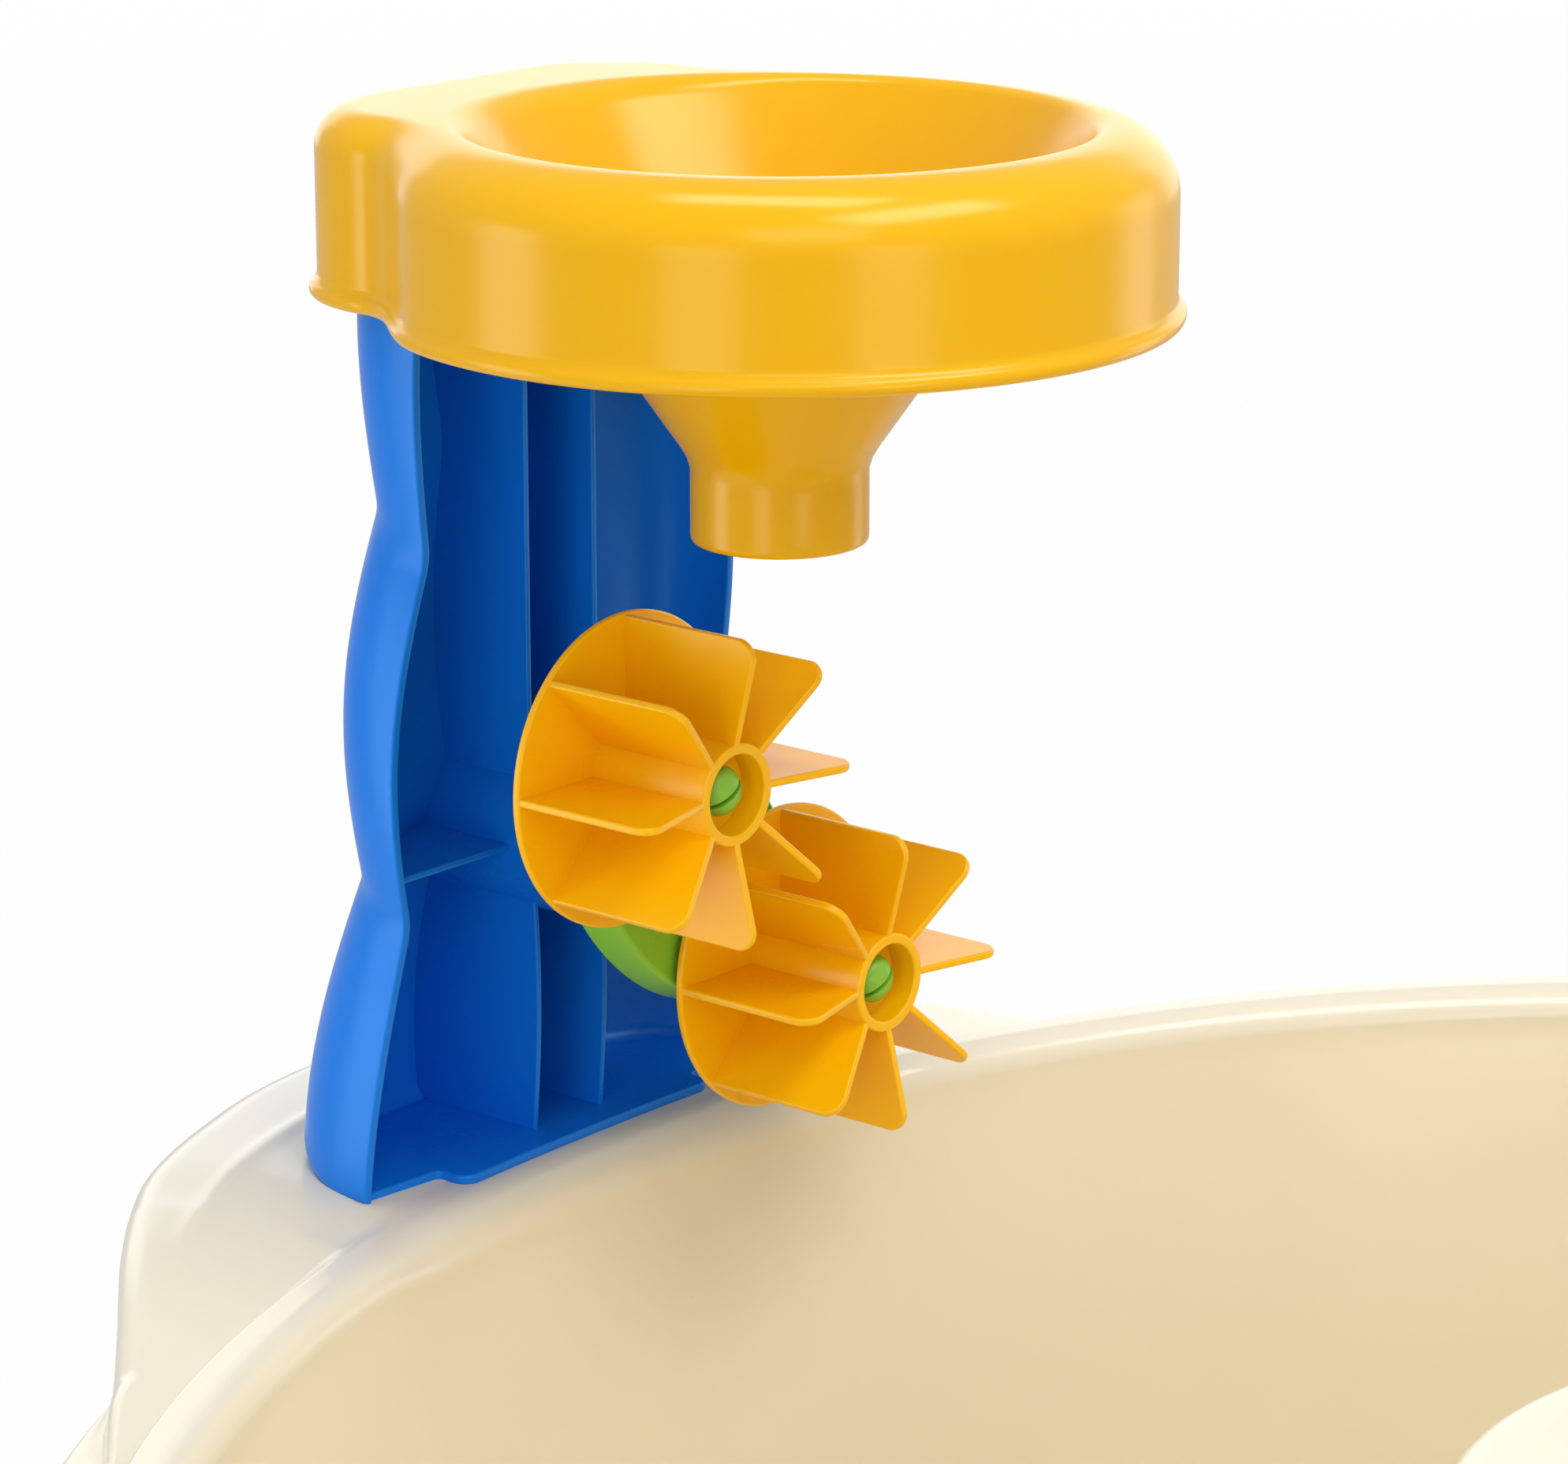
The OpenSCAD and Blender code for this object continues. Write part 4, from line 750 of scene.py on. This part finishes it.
def oval(x, inset):
    """Outline of the carrier at a distance along the axle."""
    a = np.radians(np.arange(0.0, 360.0, 2.5))[:, None]
    long, wide = CARRIER_HALF_L - inset, CARRIER_HALF_W - inset
    return pivot + (x, 0, 0) + long * np.cos(a) * arm + wide * np.sin(a) * across


body_rows = [oval(CARRIER_BACK, BACK_ROUND), oval(CARRIER_BACK + 0.25, 0.25), oval(CARRIER_BACK + BACK_ROUND, 0.0)]
body_rows += [oval(CARRIER_FRONT - FRONT_ROUND - 0.2, CARRIER_DRAFT - 0.2)]
body_rows += [oval(CARRIER_FRONT - FRONT_ROUND * (1 - math.sin(a)), CARRIER_DRAFT + FRONT_ROUND * (1 - math.cos(a)))
              for a in np.radians([10, 30, 50, 70, 90])]
carrier = loft("carrier_moulding", body_rows)
seat_r, seat_low, seat_top = PIN_R + SEAT_WALL, CARRIER_FRONT - SEAT_ROOT, CARRIER_FRONT + SEAT_UP
pin_seat = [(0.0, seat_low), (seat_r, seat_low), (seat_r, seat_top - SEAT_EDGE),
            (seat_r - SEAT_EDGE, seat_top), (0.0, seat_top)]
for end in (-1, 1):
    combine(carrier, "UNION", turned("seat", pin_seat, pivot + end * AXLE_HALF * arm, 48, "x"))
dress(soften(carrier, sharp=38.0, flats=True), green, "carrier", "wheel_carrier")
pin_green = plastic("pin_polypropylene", (0.23, 0.52, 0.04), polish=0.32, clouds=0.06, peel=0.02,
                    peel_size=700.0, gloss=0.4)


def snap_pin(name, back, head, reach, radius, over, way, spot, slit_turn):
    """A pin with a split, domed head: the two halves spring together as it is pushed home."""
    wide = radius + over
    dome = [(wide * math.cos(a), head + reach * (DOME_FOOT + (1.0 - DOME_FOOT) * math.sin(a)))
            for a in np.radians(np.linspace(0.0, 90.0, 14))]
    section = np.array([(0.0, back), (radius - PIN_EDGE, back), (radius, back + PIN_EDGE), (radius, head),
                        (wide - PIN_EDGE, head), (wide, head + PIN_EDGE)] + dome)
    pin = turned(name, section * (1.0, way), spot, 64, "x")
    u, v = math.cos(slit_turn), math.sin(slit_turn)

    def slit_place(p):
        return spot + np.stack([way * (p[:, 2] + head - SLIT_DEEP), p[:, 0] * u - p[:, 1] * v,
                                p[:, 0] * v + p[:, 1] * u], -1)

    slit_outline = rounded_box(SLIT_W, SLIT_LONG, PIN_EDGE)
    cut = plate("slit", slit_outline, SLIT_DEEP + reach * 2, SLIT_EDGE, slit_place)
    return soften(combine(pin, "DIFFERENCE", cut), sharp=38.0)


axle = snap_pin("carrier_axle", SEAT_ROOT - CARRIER_FRONT, BEARING_LEN + SNAP_GAP - DRUM_REACH, AXLE_HEAD_H,
                AXLE_R, AXLE_HEAD_OVER, -1.0, pivot, 0.0)
dress(axle, pin_green, "carrier", "carrier_pin")

# Paddle wheels: two amber injection mouldings, each a disc with a hub and eight flat paddles whose
# front corners are rounded. Each spins on a green split pin that snaps into its hub.
WHEEL_R, DISC_T, DISC_EDGE, HUB_LEN, HUB_R, HUB_WALL, HUB_EDGE = 36.0, 1.8, 0.6, 32.2, 11.6, 2.5, 0.6
PADDLES, PADDLE_T, PADDLE_EDGE, PADDLE_FLARE, PADDLE_CORNER = 8, 1.8, 0.55, 6.1, 4.5
PADDLE_INSET, PADDLE_BACK = 0.5, 0.3
HEAD_OVER, HEAD_H, WEB_FRONT, DISC_FRONT = 1.6, 5.6, 25.2, 41.4
SLEEVE_GAP, SLEEVE_WALL, WEB_LAP, HOLE_OVER = 0.05, 2.5, 0.5, 2.0


def paddle_outline():
    """A paddle seen flat: distance along the axle, then distance from it."""
    root, tip = HUB_R - HUB_WALL / 2.0, WHEEL_R - PADDLE_INSET
    lean = PADDLE_FLARE / (WHEEL_R - HUB_R)
    corner_y = tip - PADDLE_CORNER
    corner_x = HUB_LEN + lean * (corner_y - HUB_R) - PADDLE_CORNER * math.sqrt(1 + lean * lean)
    corner = arc((corner_x, corner_y), PADDLE_CORNER, 90, -math.degrees(math.atan(lean)), 12)
    back = PADDLE_BACK - DISC_T
    return np.concatenate([[(HUB_LEN + lean * (root - HUB_R), root), (back, root), (back, tip)], corner])[::-1]


def paddle_wheel(name, spot):
    """One wheel: the disc, the hub and the paddles, with a sleeve for the pin on a web inside the hub."""
    disc_r, bore, middle = WHEEL_R - DISC_EDGE, HUB_R - HUB_WALL, -DISC_T / 2.0
    disc = np.concatenate([[(0.0, -DISC_T), (disc_r, -DISC_T)],
                           arc((disc_r, -DISC_T + DISC_EDGE), DISC_EDGE, -90, 0, 5),
                           arc((disc_r, -DISC_EDGE), DISC_EDGE, 0, 90, 5), [(0.0, 0.0)]])
    wheel = turned(name, disc, spot, 180, "x")
    hub = np.concatenate([[(bore, middle), (HUB_R, middle)],
                          arc((HUB_R - HUB_EDGE, HUB_LEN - HUB_EDGE), HUB_EDGE, 0, 90, 5),
                          arc((bore + HUB_EDGE, HUB_LEN - HUB_EDGE), HUB_EDGE, 90, 180, 5)])
    blades = []
    for a in np.radians(np.arange(PADDLES) * 360.0 / PADDLES):
        c, s = math.cos(a), math.sin(a)

        def blade_place(p):
            aside = PADDLE_T / 2.0 - p[:, 2]
            return spot + np.stack([p[:, 0], p[:, 1] * c - aside * s, p[:, 1] * s + aside * c], -1)

        blades.append(plate("blade", paddle_outline(), PADDLE_T, PADDLE_EDGE, blade_place))
    combine(wheel, "UNION", turned("hub", hub, spot, 96, "x"), *blades)
    low, high = -DISC_T - HOLE_OVER, HUB_LEN + HOLE_OVER
    combine(wheel, "DIFFERENCE", turned("hole", [(0.0, low), (bore, low), (bore, high), (0.0, high)], spot, 96, "x"))
    inner, outer, web_r, web_back = PIN_R + SLEEVE_GAP, PIN_R + SLEEVE_WALL, bore + WEB_LAP, WEB_FRONT - SLEEVE_WALL
    sleeve = [(inner, -DISC_T), (outer, -DISC_T), (outer, web_back), (web_r, web_back),
              (web_r, WEB_FRONT), (inner, WEB_FRONT)]
    return combine(wheel, "UNION", turned("sleeve", sleeve, spot, 96, "x"))


amber = plastic("amber_polypropylene", (0.95, 0.50, 0.0005), polish=0.28, clouds=0.02, peel=0.006,
                peel_size=520.0, gloss=0.35)
for side, end, pin_turn in (("upper", 1, -1.05), ("lower", -1, -1.0)):
    hub_spot = pivot + (DISC_FRONT, 0.0, 0.0) + end * AXLE_HALF * arm
    wheel = soften(paddle_wheel(side + "_paddle_wheel", hub_spot), sharp=38.0, flats=True)
    dress(wheel, amber, side + "_wheel", side + "_wheel")
    pin = snap_pin(side + "_snap_pin", CARRIER_BACK - DISC_FRONT, WEB_FRONT + SNAP_GAP, HEAD_H, PIN_R, HEAD_OVER,
                   1.0, hub_spot, pin_turn)
    dress(pin, pin_green, "carrier", side + "_wheel_pin")

# Studio: a plain pale floor that shows as white and keeps the table's shadow, a pale surround and
# large soft lamps from above and from both sides.
FLOOR_HALF, PAPER, GLOW_SHARE, SKY = 9000.0, 0.7, 0.97, 0.56
LAMP_AIM, STRIP_AWAY, STRIP_W, STRIP_H = (-0.254, 0.01, 0.45), 1.3, 0.45, 0.9
corners = [(x * FLOOR_HALF, y * FLOOR_HALF, 0.0) for x, y in ((-1, -1), (1, -1), (1, 1), (-1, 1))]
floor = solid("studio_floor", corners, [(0, 1, 2, 3)])
paper = bpy.data.materials.new("white_paper")
paper.use_nodes = True
tree = paper.node_tree
matt = tree.nodes["Principled BSDF"]
matt.inputs["Base Color"].default_value = (PAPER, PAPER, PAPER, 1.0)
matt.inputs["Roughness"].default_value = 0.9
matt.inputs["Specular IOR Level"].default_value = 0.1
share = maths(tree, "MULTIPLY", add_node(tree, "LightPath").outputs["Is Camera Ray"], GLOW_SHARE)
glow = add_node(tree, "Emission", {"Color": (1.0, 1.0, 1.0, 1.0), "Strength": 1.0}).outputs[0]
both = add_node(tree, "MixShader", {0: share, 1: matt.outputs[0], 2: glow}).outputs[0]
tree.links.new(both, tree.nodes["Material Output"].inputs["Surface"])
floor.data.materials.append(paper)

world = bpy.data.worlds.new("studio")
bpy.context.scene.world = world
world.use_nodes = True
tree = world.node_tree
sky = tree.nodes["Background"]
sky.inputs["Color"].default_value = (1.0, 1.0, 1.0, 1.0)
seen = add_node(tree, "LightPath").outputs["Is Camera Ray"]
tree.links.new(maths(tree, "MULTIPLY_ADD", seen, 1.0 - SKY, SKY), sky.inputs["Strength"])


def softbox(name, spot, aim, width, height, brightness):
    """A soft lamp, as bright as a white surface times the brightness, that the camera doesn't see."""
    lamp = bpy.data.lights.new(name, "AREA")
    lamp.shape, lamp.size, lamp.size_y = "RECTANGLE", width, height
    lamp.energy = brightness * math.pi * width * height
    obj = bpy.data.objects.new(name, lamp)
    bpy.context.scene.collection.objects.link(obj)
    obj.location = spot
    obj.rotation_euler = (Vector(aim) - Vector(spot)).to_track_quat("-Z", "Y").to_euler()
    obj.visible_camera = False


softbox("overhead", (-0.25, 0.0, 2.2), (-0.254, 0.01, 0.66), 0.9, 0.45, 5.8)
softbox("right_high", (0.72, 0.1, 2.0), (-0.25, 0.0, 0.6), 1.15, 0.5, 6.4)
softbox("front", (1.1, -1.18, 1.8), (-0.25, 0.0, 0.5), 1.2, 0.8, 1.8)
softbox("backdrop", (-3.67, 4.18, 1.52), (-0.25, 0.0, 0.9), 7.7, 3.15, 1.1)
for name, x, y, brightness in (("left_front", 0.31, -0.95, 1.9), ("right_front", 0.945, -0.326, 1.8),
                               ("left_back", -0.643, -0.766, 2.8), ("right_back", 0.342, 0.94, 1.25)):
    spot = (LAMP_AIM[0] + STRIP_AWAY * x, LAMP_AIM[1] + STRIP_AWAY * y, LAMP_AIM[2])
    softbox(name, spot, LAMP_AIM, STRIP_W, STRIP_H, brightness)
bpy.context.scene.view_settings.view_transform = "Standard"

# Camera: stands at the open side of the basin, to the left of the tower, and looks a little down.
CAMERA_SPOT, CAMERA_DOWN, CAMERA_WAY = (0.4699, -0.8523, 0.8529), 15.616, 129.981
camera = bpy.data.cameras.new("view")
camera.sensor_width, camera.lens = 36.0, 120.25
camera_obj = bpy.data.objects.new("view", camera)
bpy.context.scene.collection.objects.link(camera_obj)
camera_obj.location = CAMERA_SPOT
camera_obj.rotation_euler = (math.radians(90.0 - CAMERA_DOWN), 0.0, math.radians(CAMERA_WAY - 90.0))
bpy.context.scene.camera = camera_obj
